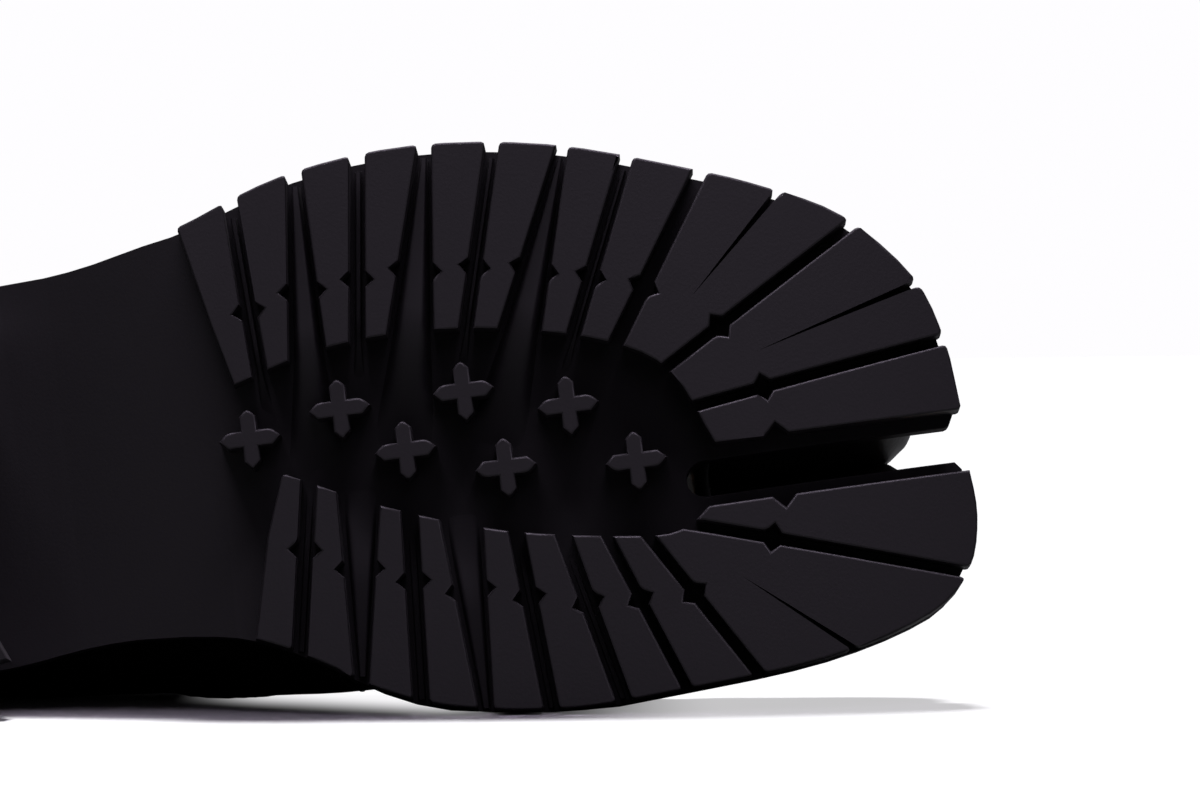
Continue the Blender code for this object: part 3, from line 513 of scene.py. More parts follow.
@dataclass(frozen=True)
class ShoeAxes:
    """The standing shoe's own axes, in millimetres, as they lie in the model."""

    to_world: Matrix
    # Places of the two tread mounts in the standing shoe
    FOREFOOT_MOUNT = Vector((183.0, 44.0, 0.0))
    HEEL_MOUNT = Vector((75.0, 0.0, 0.0))

    @classmethod
    def from_mounts(cls, mounts: list[dict]) -> "ShoeAxes":
        """Works the axes out of the record's two tread mounts.

        Args:
            mounts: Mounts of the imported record.

        Returns:
            The axes.
        """
        by_name = {mount["name"]: mount for mount in mounts}
        front = Vector(by_name["forefoot_tread"]["pos_m"])
        back = Vector(by_name["heel_tread"]["pos_m"])
        up = -Vector(by_name["heel_tread"]["axis"]).normalized()
        run = front - back
        run = (run - up * run.dot(up)).normalized()
        across = up.cross(run)
        share = (cls.FOREFOOT_MOUNT - cls.HEEL_MOUNT).normalized()
        toe = share.x * run - share.y * across
        medial = share.y * run + share.x * across
        turn = Matrix((toe, medial, up)).transposed()
        place = Matrix.Translation(back - turn @ (cls.HEEL_MOUNT * MM)) @ turn.to_4x4()
        return cls(place @ Matrix.Scale(MM, 4))

    def place(self, x: float, y: float, z: float) -> Vector:
        """The model's point at a place of the standing shoe."""
        return self.to_world @ Vector((x, y, z))

    def direction(self, x: float, y: float, z: float) -> Vector:
        """The model's unit direction along a direction of the standing shoe."""
        return (self.to_world.to_3x3() @ Vector((x, y, z))).normalized()

    def local(self, point: Vector) -> Vector:
        """The standing shoe's place of a point of the model."""
        return self.to_world.inverted() @ point

    def local_direction(self, way: Vector) -> Vector:
        """The standing shoe's unit direction of a direction of the model."""
        return (self.to_world.inverted().to_3x3() @ way).normalized()

    def middle(self, edge: bmesh.types.BMEdge) -> Vector:
        """The standing shoe's place of an edge's middle."""
        return self.local((edge.verts[0].co + edge.verts[1].co) / 2)

    def local_points(self, piece: bpy.types.Object) -> np.ndarray:
        """The standing shoe's places of all vertices of a mesh, one row each."""
        turn = np.array(self.to_world.inverted())
        return vertex_places(piece.data) @ turn[:3, :3].T + turn[:3, 3]

    def set_local_points(self, piece: bpy.types.Object, points: np.ndarray) -> None:
        """Moves all vertices of a mesh to places of the standing shoe.

        Args:
            piece: Mesh object to change.
            points: One place for each vertex.
        """
        turn = np.array(self.to_world)
        world = points @ turn[:3, :3].T + turn[:3, 3]
        piece.data.vertices.foreach_set("co", world.astype(np.float32).ravel())
        piece.data.update()


def select_only(piece: bpy.types.Object) -> None:
    """Makes a piece the only selected object and the active one.

    Args:
        piece: Piece to select.
    """
    bpy.ops.object.select_all(action="DESELECT")
    piece.select_set(True)
    bpy.context.view_layer.objects.active = piece


def apply_modifier(piece: bpy.types.Object, kind: str, **settings: object) -> None:
    """Adds a modifier, sets it and applies it.

    Args:
        piece: Mesh object to shape.
        kind: Blender's name of the modifier type.
        settings: Properties of the modifier.
    """
    select_only(piece)
    bpy.ops.object.modifier_add(type=kind)
    modifier = piece.modifiers[-1]
    for name, value in settings.items():
        setattr(modifier, name, value)
    bpy.ops.object.modifier_apply(modifier=modifier.name)


def copy_of_node(node: str, name: str, flat_deg: float) -> bpy.types.Object:
    """Copies a CAD node's mesh to a new piece, with its loose triangles merged to clean faces.

    Args:
        node: Name of the CAD node.
        name: Name of the new piece.
        flat_deg: Faces that meet at less than this angle become one.

    Returns:
        The new piece.
    """
    mesh = frame["nodes"][node].data.copy()
    mesh.materials.clear()
    piece = bpy.data.objects.new(name, mesh)
    bpy.context.scene.collection.objects.link(piece)
    select_only(piece)
    bpy.ops.mesh.customdata_custom_splitnormals_clear()
    bpy.ops.object.mode_set(mode="EDIT")
    bpy.ops.mesh.select_all(action="SELECT")
    bpy.ops.mesh.remove_doubles(threshold=SAME_POINT * MM)
    bpy.ops.mesh.dissolve_limited(angle_limit=math.radians(flat_deg))
    bpy.ops.object.mode_set(mode="OBJECT")
    return piece


def merged_shape(node: str) -> bmesh.types.BMesh:
    """Copies a CAD node's mesh to edit data with its loose triangles merged, which the caller frees.

    Args:
        node: Name of the CAD node.

    Returns:
        The edit data.
    """
    shape = bmesh.new()
    shape.from_mesh(frame["nodes"][node].data)
    bmesh.ops.remove_doubles(shape, verts=shape.verts, dist=SAME_POINT * MM)
    return shape


def bevel_edges(
    piece: bpy.types.Object, wanted: Callable[[bmesh.types.BMEdge], bool], width_mm: float
) -> int:
    """Rounds some edges of a piece.

    Args:
        piece: Mesh object to shape.
        wanted: Tells for an edge whether it is rounded.
        width_mm: Width of the rounding on each side of an edge.

    Returns:
        How many edges were rounded.
    """
    select_only(piece)
    bpy.ops.object.mode_set(mode="EDIT")
    bpy.ops.mesh.select_mode(type="EDGE")
    bpy.ops.mesh.select_all(action="DESELECT")
    shape = bmesh.from_edit_mesh(piece.data)
    chosen = [edge for edge in shape.edges if len(edge.link_faces) == 2 and wanted(edge)]
    for edge in chosen:
        edge.select_set(True)
    bmesh.update_edit_mesh(piece.data)
    bpy.ops.mesh.bevel(
        offset=width_mm * MM,
        segments=ROUND_FACES,
        affect="EDGES",
        clamp_overlap=False,
        loop_slide=False,
        miter_outer="ARC",
    )
    bpy.ops.object.mode_set(mode="OBJECT")
    return len(chosen)


def subdivide_through(piece: bpy.types.Object, levels: int) -> None:
    """Subdivides a mesh to a smooth surface that still passes through its own points.

    Args:
        piece: Mesh object to shape.
        levels: Rounds of subdivision.
    """
    select_only(piece)
    bpy.ops.object.modifier_add(type="SUBSURF")
    modifier = piece.modifiers[-1]
    modifier.levels = levels
    modifier.render_levels = levels
    goal = vertex_places(piece.data)
    control = goal.copy()
    for _ in range(FIT_ROUNDS):
        evaluated = piece.evaluated_get(bpy.context.evaluated_depsgraph_get())
        smooth = evaluated.to_mesh()
        reached = vertex_places(smooth)
        evaluated.to_mesh_clear()
        control += goal - reached[: len(goal)]
        piece.data.vertices.foreach_set("co", control.ravel())
        piece.data.update()
    bpy.ops.object.modifier_apply(modifier=modifier.name)


def join(pieces: list[bpy.types.Object], name: str) -> bpy.types.Object:
    """Joins pieces to one object with a new name.

    Args:
        pieces: Pieces to join.
        name: Name of the object that they become.

    Returns:
        That object.
    """
    bpy.ops.object.select_all(action="DESELECT")
    for piece in pieces:
        piece.select_set(True)
    bpy.context.view_layer.objects.active = pieces[0]
    bpy.ops.object.join()
    pieces[0].name = name
    pieces[0].data.name = name
    return pieces[0]


def make_outward(piece: bpy.types.Object) -> None:
    """Turns the faces of closed shapes outwards.

    Args:
        piece: Piece of closed shapes.
    """
    select_only(piece)
    bpy.ops.object.mode_set(mode="EDIT")
    bpy.ops.mesh.select_all(action="SELECT")
    bpy.ops.mesh.normals_make_consistent(inside=False)
    bpy.ops.object.mode_set(mode="OBJECT")


def shade(piece: bpy.types.Object, sharp_deg: float) -> None:
    """Shades a piece smooth, keeps its hard edges and its flat faces flat.

    Args:
        piece: Mesh object to shade.
        sharp_deg: Edges over this angle stay sharp.
    """
    select_only(piece)
    bpy.ops.object.shade_smooth_by_angle(angle=math.radians(sharp_deg))
    apply_modifier(piece, "WEIGHTED_NORMAL", weight=LARGE_FACES, keep_sharp=True)


def set_share(piece: bpy.types.Object, name: str, shares: np.ndarray) -> None:
    """Stores a share from 0 to 1 for each vertex, for the materials to read."""
    attribute = piece.data.attributes.new(name, "FLOAT", "POINT")
    attribute.data.foreach_set("value", np.asarray(shares, np.float32))


def hand_over(piece: bpy.types.Object, replaced: tuple[str, ...] = ()) -> bpy.types.Object:
    """Rides a finished piece on the shoe and hides the CAD nodes that it stands for.

    Args:
        piece: Finished piece.
        replaced: CAD nodes that it replaces.

    Returns:
        The piece.
    """
    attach(piece, BODY)
    if replaced:
        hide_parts(*replaced)
    LOG.info("%s: %d faces", piece.name, len(piece.data.polygons))
    return piece


def mesh_piece(name: str, points: np.ndarray, faces: np.ndarray | list) -> bpy.types.Object:
    """Makes a piece from points and the faces between them.

    Args:
        name: Name of the new piece.
        points: One row of three for each point.
        faces: Numbers of the points round each face.

    Returns:
        The piece.
    """
    mesh = bpy.data.meshes.new(name)
    mesh.from_pydata(np.asarray(points, float).tolist(), [], [list(map(int, face)) for face in faces])
    piece = bpy.data.objects.new(name, mesh)
    bpy.context.scene.collection.objects.link(piece)
    return piece


class Cut(NamedTuple):
    """A groove or sipe of the tread, from the sole's edge inwards, and its widths."""

    outer_x: float
    outer_y: float
    inner_x: float
    inner_y: float
    outer_width: float
    inner_width: float


SIPES = [
    Cut(242.4, -34.2, 224.8, -17.3, 1.3, 0.0),
    Cut(265.5, -14.9, 235.4, -5.8, 1.3, 0.0),
    Cut(246.3, 50.9, 227.2, 35.0, 1.1, 0.0),
]
RIBBED_GROOVES = [
    Cut(142.5, -44.1, 144.0, -13.8, 2.9, 2.9),
    Cut(154.8, -48.0, 153.3, -16.0, 3.1, 7.0),
    Cut(166.7, -49.7, 162.7, -16.9, 2.9, 2.9),
    Cut(179.2, -50.2, 172.6, -17.2, 2.8, 8.5),
    Cut(191.6, -49.0, 182.8, -16.5, 2.6, 2.6),
    Cut(204.3, -46.9, 192.6, -14.9, 2.4, 7.9),
    Cut(215.7, -43.5, 202.2, -12.6, 2.5, 2.5),
    Cut(202.9, 54.9, 195.9, 23.9, 2.8, 2.8),
    Cut(189.6, 54.9, 187.3, 21.6, 2.8, 2.8),
    Cut(177.7, 53.5, 177.6, 18.9, 2.8, 7.7),
    Cut(166.1, 50.3, 168.3, 15.9, 3.1, 3.1),
    Cut(155.8, 44.8, 159.4, 12.0, 2.9, 7.9),
    Cut(145.1, 38.7, 150.6, 8.0, 2.9, 2.9),
]


@dataclass
class Sole:
    """Rubber outsole and heel with their tread, and the leather layers on them."""

    axes: ShoeAxes
    length: float = 272.0
    lug_height: float = 6.5
    heel_seat: float = 24.0
    toe_spring: float = 9.0
    flat_front: float = 205.0
    arch_rear: float = 78.0
    arch_front: float = 152.0
    # Base, midsole and the joins between them, up to the upper's lower edge
    layers: float = 11.1
    lug_round: float = 0.5
    corner_round: float = 0.75
    layer_round: float = 0.35
    least_lug: float = 2.0
    # Angles: faces that become one, edges that stay sharp in rubber and ribs, edges of a layer
    flat_deg: float = 1.2
    sharp_deg: float = 35.0
    rib_sharp_deg: float = 60.0
    layer_edge_deg: float = 60.0
    # A ground face looks down at least this much
    ground_facing: float = 0.9
    # The slot's rim: how far an edge may lie from the wall and from the recess, and its least angle
    slot_aside: float = 0.2
    slot_level: float = 0.4
    slot_rim_deg: float = 45.0
    # An outer corner: how far its faces may slant, its least angle and how much it looks outwards
    corner_slant: float = 0.3
    corner_deg: float = 40.0
    corner_outward: float = 0.5
    # Ground faces within this angle of the curve take its normals; the rearmost lugs bend up with the waist
    even_deg: float = 17.0
    even_rear_deg: float = 32.0
    even_rear: float = 156.0
    even_area: float = 4.0
    even_turn_deg: float = 60.0
    # Ways out of the base and of the leather layer on the inner side, and where along the shoe they set in
    base_out: float = 1.1
    leather_out: float = 1.5
    widen_rear: tuple[float, float] = (118.0, 136.0)
    widen_front: tuple[float, float] = (262.0, 268.0)
    widen_clear: float = 0.1
    # Faces of that edge: how far they may slant, how much they look to the inner side, and where it begins
    widen_slant: float = 0.35
    widen_facing: float = 0.2
    widen_side: float = 20.0
    least_fall: float = 0.1
    merge: float = 0.02
    toe_centre: tuple[float, float] = (222.0, 6.0)
    raw_rear: float = 203.0
    raw_front: float = 226.0
    sipe_reach: float = 1.2
    # Ribs of the wide and of the narrow grooves: height, run into the recess, clear gap, growth of the half
    wide_rib: tuple[float, float, float, float] = (4.2, 25.0, 0.75, 0.12)
    narrow_rib: tuple[float, float, float, float] = (1.7, 9.0, 0.8, 0.09)
    # Share of that height and run on the inner side of the shoe
    medial_rib: tuple[float, float] = (0.3, 0.3)
    # A rib starts this far inside the sole's edge, rises over a short end and is sunk in a little
    rib_setback: float = 0.5
    rib_end: float = 0.2
    rib_least_half: float = 0.45
    rib_sink: float = 0.14
    # It fades from this far before the recess, on the outer and on the inner side, and is gone near its end
    rib_fading: float = 5.0
    medial_fading: float = 16.0
    rib_gone: float = 1.0
    # Exponents of its section: upright sides between the lugs, a soft hump in the recess, and where it turns
    rib_section: tuple[float, float] = (8.0, 3.5)
    rib_turn: tuple[float, float] = (3.0, 6.0)
    rib_steps: int = 32
    rib_columns: int = 12
    rib_skin: float = 0.6
    # Tone share of a full rib; a lower rib and its fading end get less, as painted shade
    rib_face_and_shade_share: float = 0.75
    # Depths below the recess over which rubber turns from hollow, darkened as painted shade, to tread face,
    # and the waist's share of it
    face_and_shade_span: tuple[float, float] = (1.0, 5.0)
    waist_share: float = 0.72
    waist_span: tuple[float, float] = (125.0, 150.0)
    # In the slot the leather's edge stays near black up to here, and how far aside that holds
    slot_raw: tuple[float, float] = (248.0, 256.0)
    slot_dark_aside: tuple[float, float] = (SLOT_REACH, SLOT_REACH + 2.0)
    slot_end: float = 219.5
    slot_half: float = 3.25
    # The slot leans to the outer side by this share of its run, together with what lies near it
    slot_lean: float = 0.0235
    lean_near: float = 6.5
    lean_far: float = 14.0

    def lean_slot(self, piece: bpy.types.Object) -> None:
        """Turns the slot between the toes a little to the outer side.

        Args:
            piece: Piece to change.
        """
        places = self.axes.local_points(piece)
        near = 1.0 - smooth_step(self.lean_near, self.lean_far, np.abs(places[:, 1] - SLOT_CENTRE))
        places[:, 1] -= self.slot_lean * near * np.maximum(places[:, 0] - self.slot_end, 0.0)
        self.axes.set_local_points(piece, places)

    def rims_slot(self, edge: bmesh.types.BMEdge) -> bool:
        """Tells whether an edge is the slot's rim on the ground side.

        Args:
            edge: Edge to test.

        Returns:
            Whether it is.
        """
        place = self.axes.middle(edge)
        if place.x < self.slot_end or abs(place.z - self.floor(place.x)) > self.slot_level:
            return False
        if abs(abs(place.y - SLOT_CENTRE) - self.slot_half) > self.slot_aside:
            return False
        return edge.calc_face_angle(0.0) > math.radians(self.slot_rim_deg)

    def is_layer_edge(self, edge: bmesh.types.BMEdge) -> bool:
        """Tells whether an edge is a cut edge of a layer."""
        return edge.calc_face_angle(0.0) > math.radians(self.layer_edge_deg)

    def floor(self, x: float) -> float:
        """Height of the recess between the lugs.

        Args:
            x: Place along the shoe.

        Returns:
            The height above the tread.
        """
        arch = 1.0 - smooth_step(self.arch_rear, self.arch_front, x)
        spring = max(x - self.flat_front, 0.0) / (self.length - self.flat_front)
        waist = (self.heel_seat - self.lug_height) * float(arch)
        return self.lug_height + waist + self.toe_spring * spring**2

    def is_tread(self, face: bmesh.types.BMFace, recess: Callable[[float], float]) -> bool:
        """Tells whether a face is the ground side of a lug or cross.

        Args:
            face: Face to test.
            recess: Height of the recess between the lugs, along the shoe.

        Returns:
            Whether it is.
        """
        place = self.axes.local(face.calc_center_median())
        facing = self.axes.local_direction(face.normal)
        return facing.z < -self.ground_facing and recess(place.x) - place.z > self.least_lug

    def even_normal(self, x: float) -> Vector:
        """Normal of the curve that the lugs' ground faces follow, at a place along the shoe."""
        spring = max(x - self.flat_front, 0.0) / (self.length - self.flat_front) ** 2
        return self.axes.direction(2.0 * self.toe_spring * spring, 0.0, -1.0).normalized()

    def widen_inner_side(self, piece: bpy.types.Object, span: tuple[float, float], most: float) -> None:
        """Brings a layer's edge on the shoe's inner side out to the lugs, as far as the floor leaves room.

        Args:
            piece: Layer to change.
            span: Heights above the recess between which its edge lies.
            most: Largest way out, in millimetres.
        """
        ways: dict[int, Vector] = {}
        for polygon in piece.data.polygons:
            place = self.axes.local(polygon.center)
            facing = self.axes.local_direction(polygon.normal)
            level = place.z - self.floor(place.x)
            aslant = abs(facing.z) > self.widen_slant or facing.y < self.widen_facing
            if aslant or place.y < self.widen_side or not span[0] < level < span[1]:
                continue
            for vertex in polygon.vertices:
                ways[vertex] = ways.get(vertex, Vector()) + Vector((facing.x, facing.y, 0.0))
        for index, way in ways.items():
            vertex = piece.data.vertices[index]
            x = self.axes.local(vertex.co).x
            out = self.axes.direction(*way.normalized())
            share = smooth_step(*self.widen_rear, x) * (1.0 - smooth_step(*self.widen_front, x))
            room = max((vertex.co.z / MM - self.widen_clear) / max(-out.z, self.least_fall), 0.0)
            vertex.co += out * min(most * float(share), room) * MM

    def is_outer_corner(self, edge: bmesh.types.BMEdge) -> bool:
        """Tells whether an edge is an upright corner on the outer side of a lug.

        Args:
            edge: Edge to test.

        Returns:
            Whether it is.
        """
        first, second = [self.axes.local_direction(face.normal) for face in edge.link_faces]
        if max(abs(first.z), abs(second.z)) > self.corner_slant or not edge.is_convex:
            return False
        if edge.calc_face_angle(0.0) < math.radians(self.corner_deg):
            return False
        place = self.axes.middle(edge)
        centre = Vector((min(place.x, self.toe_centre[0]), self.toe_centre[1], place.z))
        return (first + second).normalized().dot((place - centre).normalized()) > self.corner_outward

    def is_on_sipe(self, edge: bmesh.types.BMEdge) -> bool:
        """Tells whether an edge runs along one of the toe's thin cuts, which stay sharp.

        Args:
            edge: Edge to test.

        Returns:
            Whether it does.
        """
        place = self.axes.middle(edge).xy
        for sipe in SIPES:
            start = Vector((sipe.inner_x, sipe.inner_y))
            run = Vector((sipe.outer_x, sipe.outer_y)) - start
            share = min(max((place - start).dot(run) / run.length_squared, 0.0), 1.0)
            if (place - start - share * run).length < self.sipe_reach:
                return True
        return False

    def even_tread(self, piece: bpy.types.Object, recess: Callable[[float], float]) -> None:
        """Gives the ground faces of the lugs the normals of the even curve that they follow.

        Args:
            piece: Rubber piece, shaded.
            recess: Height of the recess between its lugs, along the shoe.
        """
        mesh = piece.data
        along = self.axes.local_points(piece)[:, 0]
        even = {}
        for polygon in mesh.polygons:
            place = self.axes.local(polygon.center)
            if recess(place.x) - place.z < self.least_lug:
                continue
            bent = place.x < self.even_rear and polygon.area > self.even_area * MM**2
            limit = self.even_rear_deg if bent else self.even_deg
            if self.even_normal(place.x).angle(polygon.normal) < math.radians(limit):
                even.update((vertex, self.even_normal(along[vertex])) for vertex in polygon.vertices)
        normals = [corner.vector.copy() for corner in mesh.corner_normals]
        for loop in mesh.loops:
            wanted = even.get(loop.vertex_index)
            if wanted is not None and wanted.angle(normals[loop.index]) < math.radians(self.even_turn_deg):
                normals[loop.index] = wanted
        mesh.normals_split_custom_set(normals)

    def tread_piece(
        self, node: str, name: str, finish: bpy.types.Material, recess: Callable[[float], float]
    ) -> bpy.types.Object:
        """Makes a rubber piece with its lug edges rounded.

        Args:
            node: CAD node of the piece.
            name: Name of the new piece.
            finish: Its material.
            recess: Height of the recess between its lugs, along the shoe.

        Returns:
            The piece.
        """
        piece = copy_of_node(node, name, self.flat_deg)
        corners = bevel_edges(piece, self.is_outer_corner, self.corner_round)

        def rims_lug(edge: bmesh.types.BMEdge) -> bool:
            """Tells whether an edge bounds a lug's ground face."""
            if self.is_on_sipe(edge):
                return False
            return sum(self.is_tread(face, recess) for face in edge.link_faces) == 1

        rims = bevel_edges(piece, rims_lug, self.lug_round)
        rims += bevel_edges(piece, self.rims_slot, self.layer_round)
        LOG.info("%s: %d corners and %d lug edges rounded", name, corners, rims)
        apply_modifier(piece, "WELD", merge_threshold=self.merge * MM)
        self.lean_slot(piece)
        self.widen_inner_side(piece, (0.0, self.layers), self.base_out)
        shade(piece, self.sharp_deg)
        self.even_tread(piece, recess)
        # Painted shade: rubber that lies deeper than the lug faces gets a smaller share and so a darker tone
        places = self.axes.local_points(piece)
        floor = np.array([recess(x) for x in places[:, 0]])
        share = smooth_step(*self.face_and_shade_span, floor - places[:, 2])
        waist = self.waist_share * (1.0 - smooth_step(*self.waist_span, places[:, 0]))
        set_share(piece, FACE_AND_HOLLOW_SHADE, np.maximum(share, waist))
        piece.data.materials.append(finish)
        return hand_over(piece, (node,))

    def rib(self, groove: Cut) -> bpy.types.Object:
        """Models the soft rib that runs along a groove and fades out in the middle recess.

        Args:
            groove: Groove that holds the rib.

        Returns:
            The rib as a closed piece that is sunk a little into the sole.
        """
        bpy.ops.object.select_all(action="DESELECT")
        bpy.ops.mesh.primitive_grid_add(
            x_subdivisions=self.rib_steps, y_subdivisions=self.rib_columns, size=2.0
        )
        piece = bpy.context.object
        run, across = vertex_places(piece.data)[:, :2].T
        start = np.array([groove.outer_x, groove.outer_y])
        way = np.array([groove.inner_x, groove.inner_y]) - start
        length = float(np.linalg.norm(way))
        way /= length
        side = np.array([-way[1], way[0]])
        wide = groove.inner_width > groove.outer_width
        top, reach, gap, growth = self.wide_rib if wide else self.narrow_rib
        fading = self.rib_fading
        if groove.outer_y > 0.0:
            top *= self.medial_rib[0]
            reach *= self.medial_rib[1]
            fading = self.medial_fading
        begin = self.rib_setback + self.rib_end
        end = length + reach
        first = 2.0 / self.rib_steps
        travel = begin + (end - begin) * (run + 1.0 - first) / (2.0 - first)
        travel[run < first / 2.0 - 1.0] = self.rib_setback
        beyond = np.maximum(travel - length, 0.0)
        widening = groove.inner_width - groove.outer_width
        width = groove.outer_width + widening * np.minimum(travel / length, 1.0)
        half = np.maximum(width / 2 - gap, self.rib_least_half) + growth * beyond
        fade = 1.0 - smooth_step(length - fading, end - self.rib_gone, travel)
        rise = smooth_step(self.rib_setback, begin, travel)
        upright, hump = self.rib_section
        turned = smooth_step(length - self.rib_turn[0], length + self.rib_turn[1], travel)
        edge = np.abs(across) ** (upright - (upright - hump) * turned)
        height = top * fade * rise * (1.0 - edge)
        height -= self.rib_sink * np.maximum(np.maximum(edge, 1.0 - rise), 1.0 - fade)
        plan = start + travel[:, None] * way + (across * half)[:, None] * side
        floor = np.array([self.floor(x) for x in plan[:, 0]])
        self.axes.set_local_points(piece, np.column_stack([plan, floor - height]))
        # Painted shade: a lower rib and its fading end take a darker tone
        set_share(piece, FACE_AND_HOLLOW_SHADE, self.rib_face_and_shade_share * fade * (top / self.wide_rib[0]))
        apply_modifier(piece, "SOLIDIFY", thickness=self.rib_skin * MM, offset=1.0)
        return piece

    def ribs(self, finish: bpy.types.Material) -> bpy.types.Object:
        """Makes the ribs of all grooves as one piece of rubber.

        Args:
            finish: Material of the rubber.

        Returns:
            The piece.
        """
        made = [self.rib(groove) for groove in RIBBED_GROOVES]
        piece = join(made, "tread_ribs")
        make_outward(piece)
        shade(piece, self.rib_sharp_deg)
        piece.data.materials.append(finish)
        return hand_over(piece)

    def midsole(self, finish: bpy.types.Material, raw_attribute: str) -> bpy.types.Object:
        """Makes the leather layer, with the share of its edge that shows pale fibres as an attribute.

        Args:
            finish: Material of the leather.
            raw_attribute: Name of that attribute.

        Returns:
            The piece.
        """
        piece = copy_of_node("midsole", "midsole_layer", LAYER_FLAT_DEG)
        bevel_edges(piece, self.is_layer_edge, self.layer_round)
        self.lean_slot(piece)
        self.widen_inner_side(piece, (0.0, 2.0 * self.layers), self.leather_out)
        shade(piece, self.sharp_deg)
        places = self.axes.local_points(piece)
        # Pale fibres towards the toe and at the slot's mouth; the rest of the edge stays near black
        raw = smooth_step(self.raw_rear, self.raw_front, places[:, 0])
        in_slot = 1.0 - smooth_step(*self.slot_dark_aside, np.abs(places[:, 1] - SLOT_CENTRE))
        raw *= 1.0 - in_slot * (1.0 - smooth_step(*self.slot_raw, places[:, 0]))
        set_share(piece, raw_attribute, raw)
        piece.data.materials.append(finish)
        return hand_over(piece, ("midsole",))

    def insole(self, finish: bpy.types.Material) -> bpy.types.Object:
        """Makes the insole with a rounded edge.

        Args:
            finish: Material of the lining leather.

        Returns:
            The piece.
        """
        piece = copy_of_node("insole", "insole_sock", LAYER_FLAT_DEG)
        bevel_edges(piece, self.is_layer_edge, self.layer_round)
        shade(piece, self.sharp_deg)
        piece.data.materials.append(finish)
        return hand_over(piece, ("insole",))


@dataclass
class Upper:
    """Leather upper with its lining and tongue."""

    axes: ShoeAxes
    sole: Sole
    crease_weight: float = 0.85
    rim_deg: float = 45.0
    sharp_deg: float = 40.0
    levels: int = 2
    # Two triangles become a quad up to this fold and this unevenness
    quad_fold_deg: float = 60.0
    quad_uneven_deg: float = 70.0
    # Stretches of wall with fewer faces are cut edges
    least_stretch: int = 40
    web: float = 224.0
    medial_toe: float = 30.0
    lateral_toe: float = -2.0
    axis_height: float = 14.0
    axis_rear: float = 30.0
    axis_front: float = 248.0
    # The toe lobes over the slot: gap that is left, most way of each, and where along, up and aside it holds
    cleft_half: float = 0.04
    cleft_most: float = 2.4
    cleft_rear: tuple[float, float] = (218.0, 225.0)
    cleft_front: tuple[float, float] = (257.0, 261.0)
    cleft_low: tuple[float, float] = (2.0, 7.0)
    cleft_high: tuple[float, float] = (20.0, 27.0)
    cleft_aside: tuple[float, float] = (4.0, 8.0)
    web_reach: float = 8.0
    flex_places: tuple[float, ...] = (190.0, 197.5, 205.0)
    flex_depth: float = 0.4
    flex_width: float = 2.4
    # Heights over which the troughs set in, their waviness and its length, their bow and how far they differ
    flex_rise: tuple[float, float] = (12.0, 30.0)
    flex_wave: tuple[float, float] = (2.0, 11.0)
    flex_bow: float = 0.0016
    flex_vary: float = 0.25
    # The inner quarter lies on the floor: depth of the sag, its middle and width behind the sole, its ends
    sag: float = 3.4
    sag_middle: float = 4.0
    sag_width: float = 15.0
    sag_rear: tuple[float, float] = (-75.0, -48.0)
    sag_front: tuple[float, float] = (0.0, 36.0)
    sag_clear: float = 0.25
    sag_least: float = 0.01
    sag_wall: tuple[float, float] = (6.0, 24.0)

    def foot_axis(self, place: Vector) -> Vector:
        """Finds a point inside the foot near a place of the upper.

        Args:
            place: Place of the upper.

        Returns:
            The point on the axis of the foot or of the toe.
        """
        x = min(max(place.x, self.axis_rear), self.axis_front)
        y = 0.0
        if place.x > self.web:
            y = self.medial_toe if place.y > SLOT_CENTRE else self.lateral_toe
        return Vector((x, y, self.sole.floor(x) + self.sole.layers + self.axis_height))

    def faces_in(self, faces: list[bmesh.types.BMFace]) -> bool:
        """Tells whether a stretch of the wall looks towards the foot.

        Args:
            faces: Faces of the stretch.

        Returns:
            Whether it does.
        """
        score = 0.0
        for face in faces:
            place = self.axes.local(face.calc_center_median())
            outward = (place - self.foot_axis(place)).normalized()
            score += face.calc_area() * self.axes.local_direction(face.normal).dot(outward)
        return score < 0.0

    def mark_lining(self, shape: bmesh.types.BMesh) -> None:
        """Gives the second material to each stretch of wall, bounded by sharp edges, that looks inwards.

        Args:
            shape: Edit data of the upper.
        """
        left = set(shape.faces)
        while left:
            stretch = [left.pop()]
            for face in stretch:
                for edge in face.edges:
                    if edge.calc_face_angle(0.0) > math.radians(self.rim_deg):
                        continue
                    joined = [other for other in edge.link_faces if other in left]
                    left.difference_update(joined)
                    stretch.extend(joined)
            inside = len(stretch) > self.least_stretch and self.faces_in(stretch)
            for face in stretch:
                place = self.axes.local(face.calc_center_median())
                ahead = place.x > self.web - self.web_reach
                turned_in = ahead and abs(place.y - SLOT_CENTRE) < self.web_reach
                face.material_index = int(inside and not turned_in)

    def soft_copy(self, node: str, name: str) -> bpy.types.Object:
        """Copies a leather node and rounds it, keeping its cut edges firm.

        Args:
            node: CAD node.
            name: Name of the new piece.

        Returns:
            The piece.
        """
        piece = copy_of_node(node, name, KEPT_FLAT_DEG)
        bpy.ops.object.mode_set(mode="EDIT")
        bpy.ops.mesh.select_all(action="SELECT")
        bpy.ops.mesh.tris_convert_to_quads(
            face_threshold=math.radians(self.quad_fold_deg),
            shape_threshold=math.radians(self.quad_uneven_deg),
        )
        shape = bmesh.from_edit_mesh(piece.data)
        crease = shape.edges.layers.float.new("crease_edge")
        for edge in shape.edges:
            if edge.calc_face_angle(0.0) > math.radians(self.rim_deg):
                edge[crease] = self.crease_weight
        self.mark_lining(shape)
        bmesh.update_edit_mesh(piece.data)
        bpy.ops.object.mode_set(mode="OBJECT")
        subdivide_through(piece, self.levels)
        return piece

    def heights(self, places: np.ndarray) -> np.ndarray:
        """Heights of places of the standing shoe above the upper's lower edge."""
        return places[:, 2] - np.array([self.sole.floor(x) for x in places[:, 0]]) - self.sole.layers

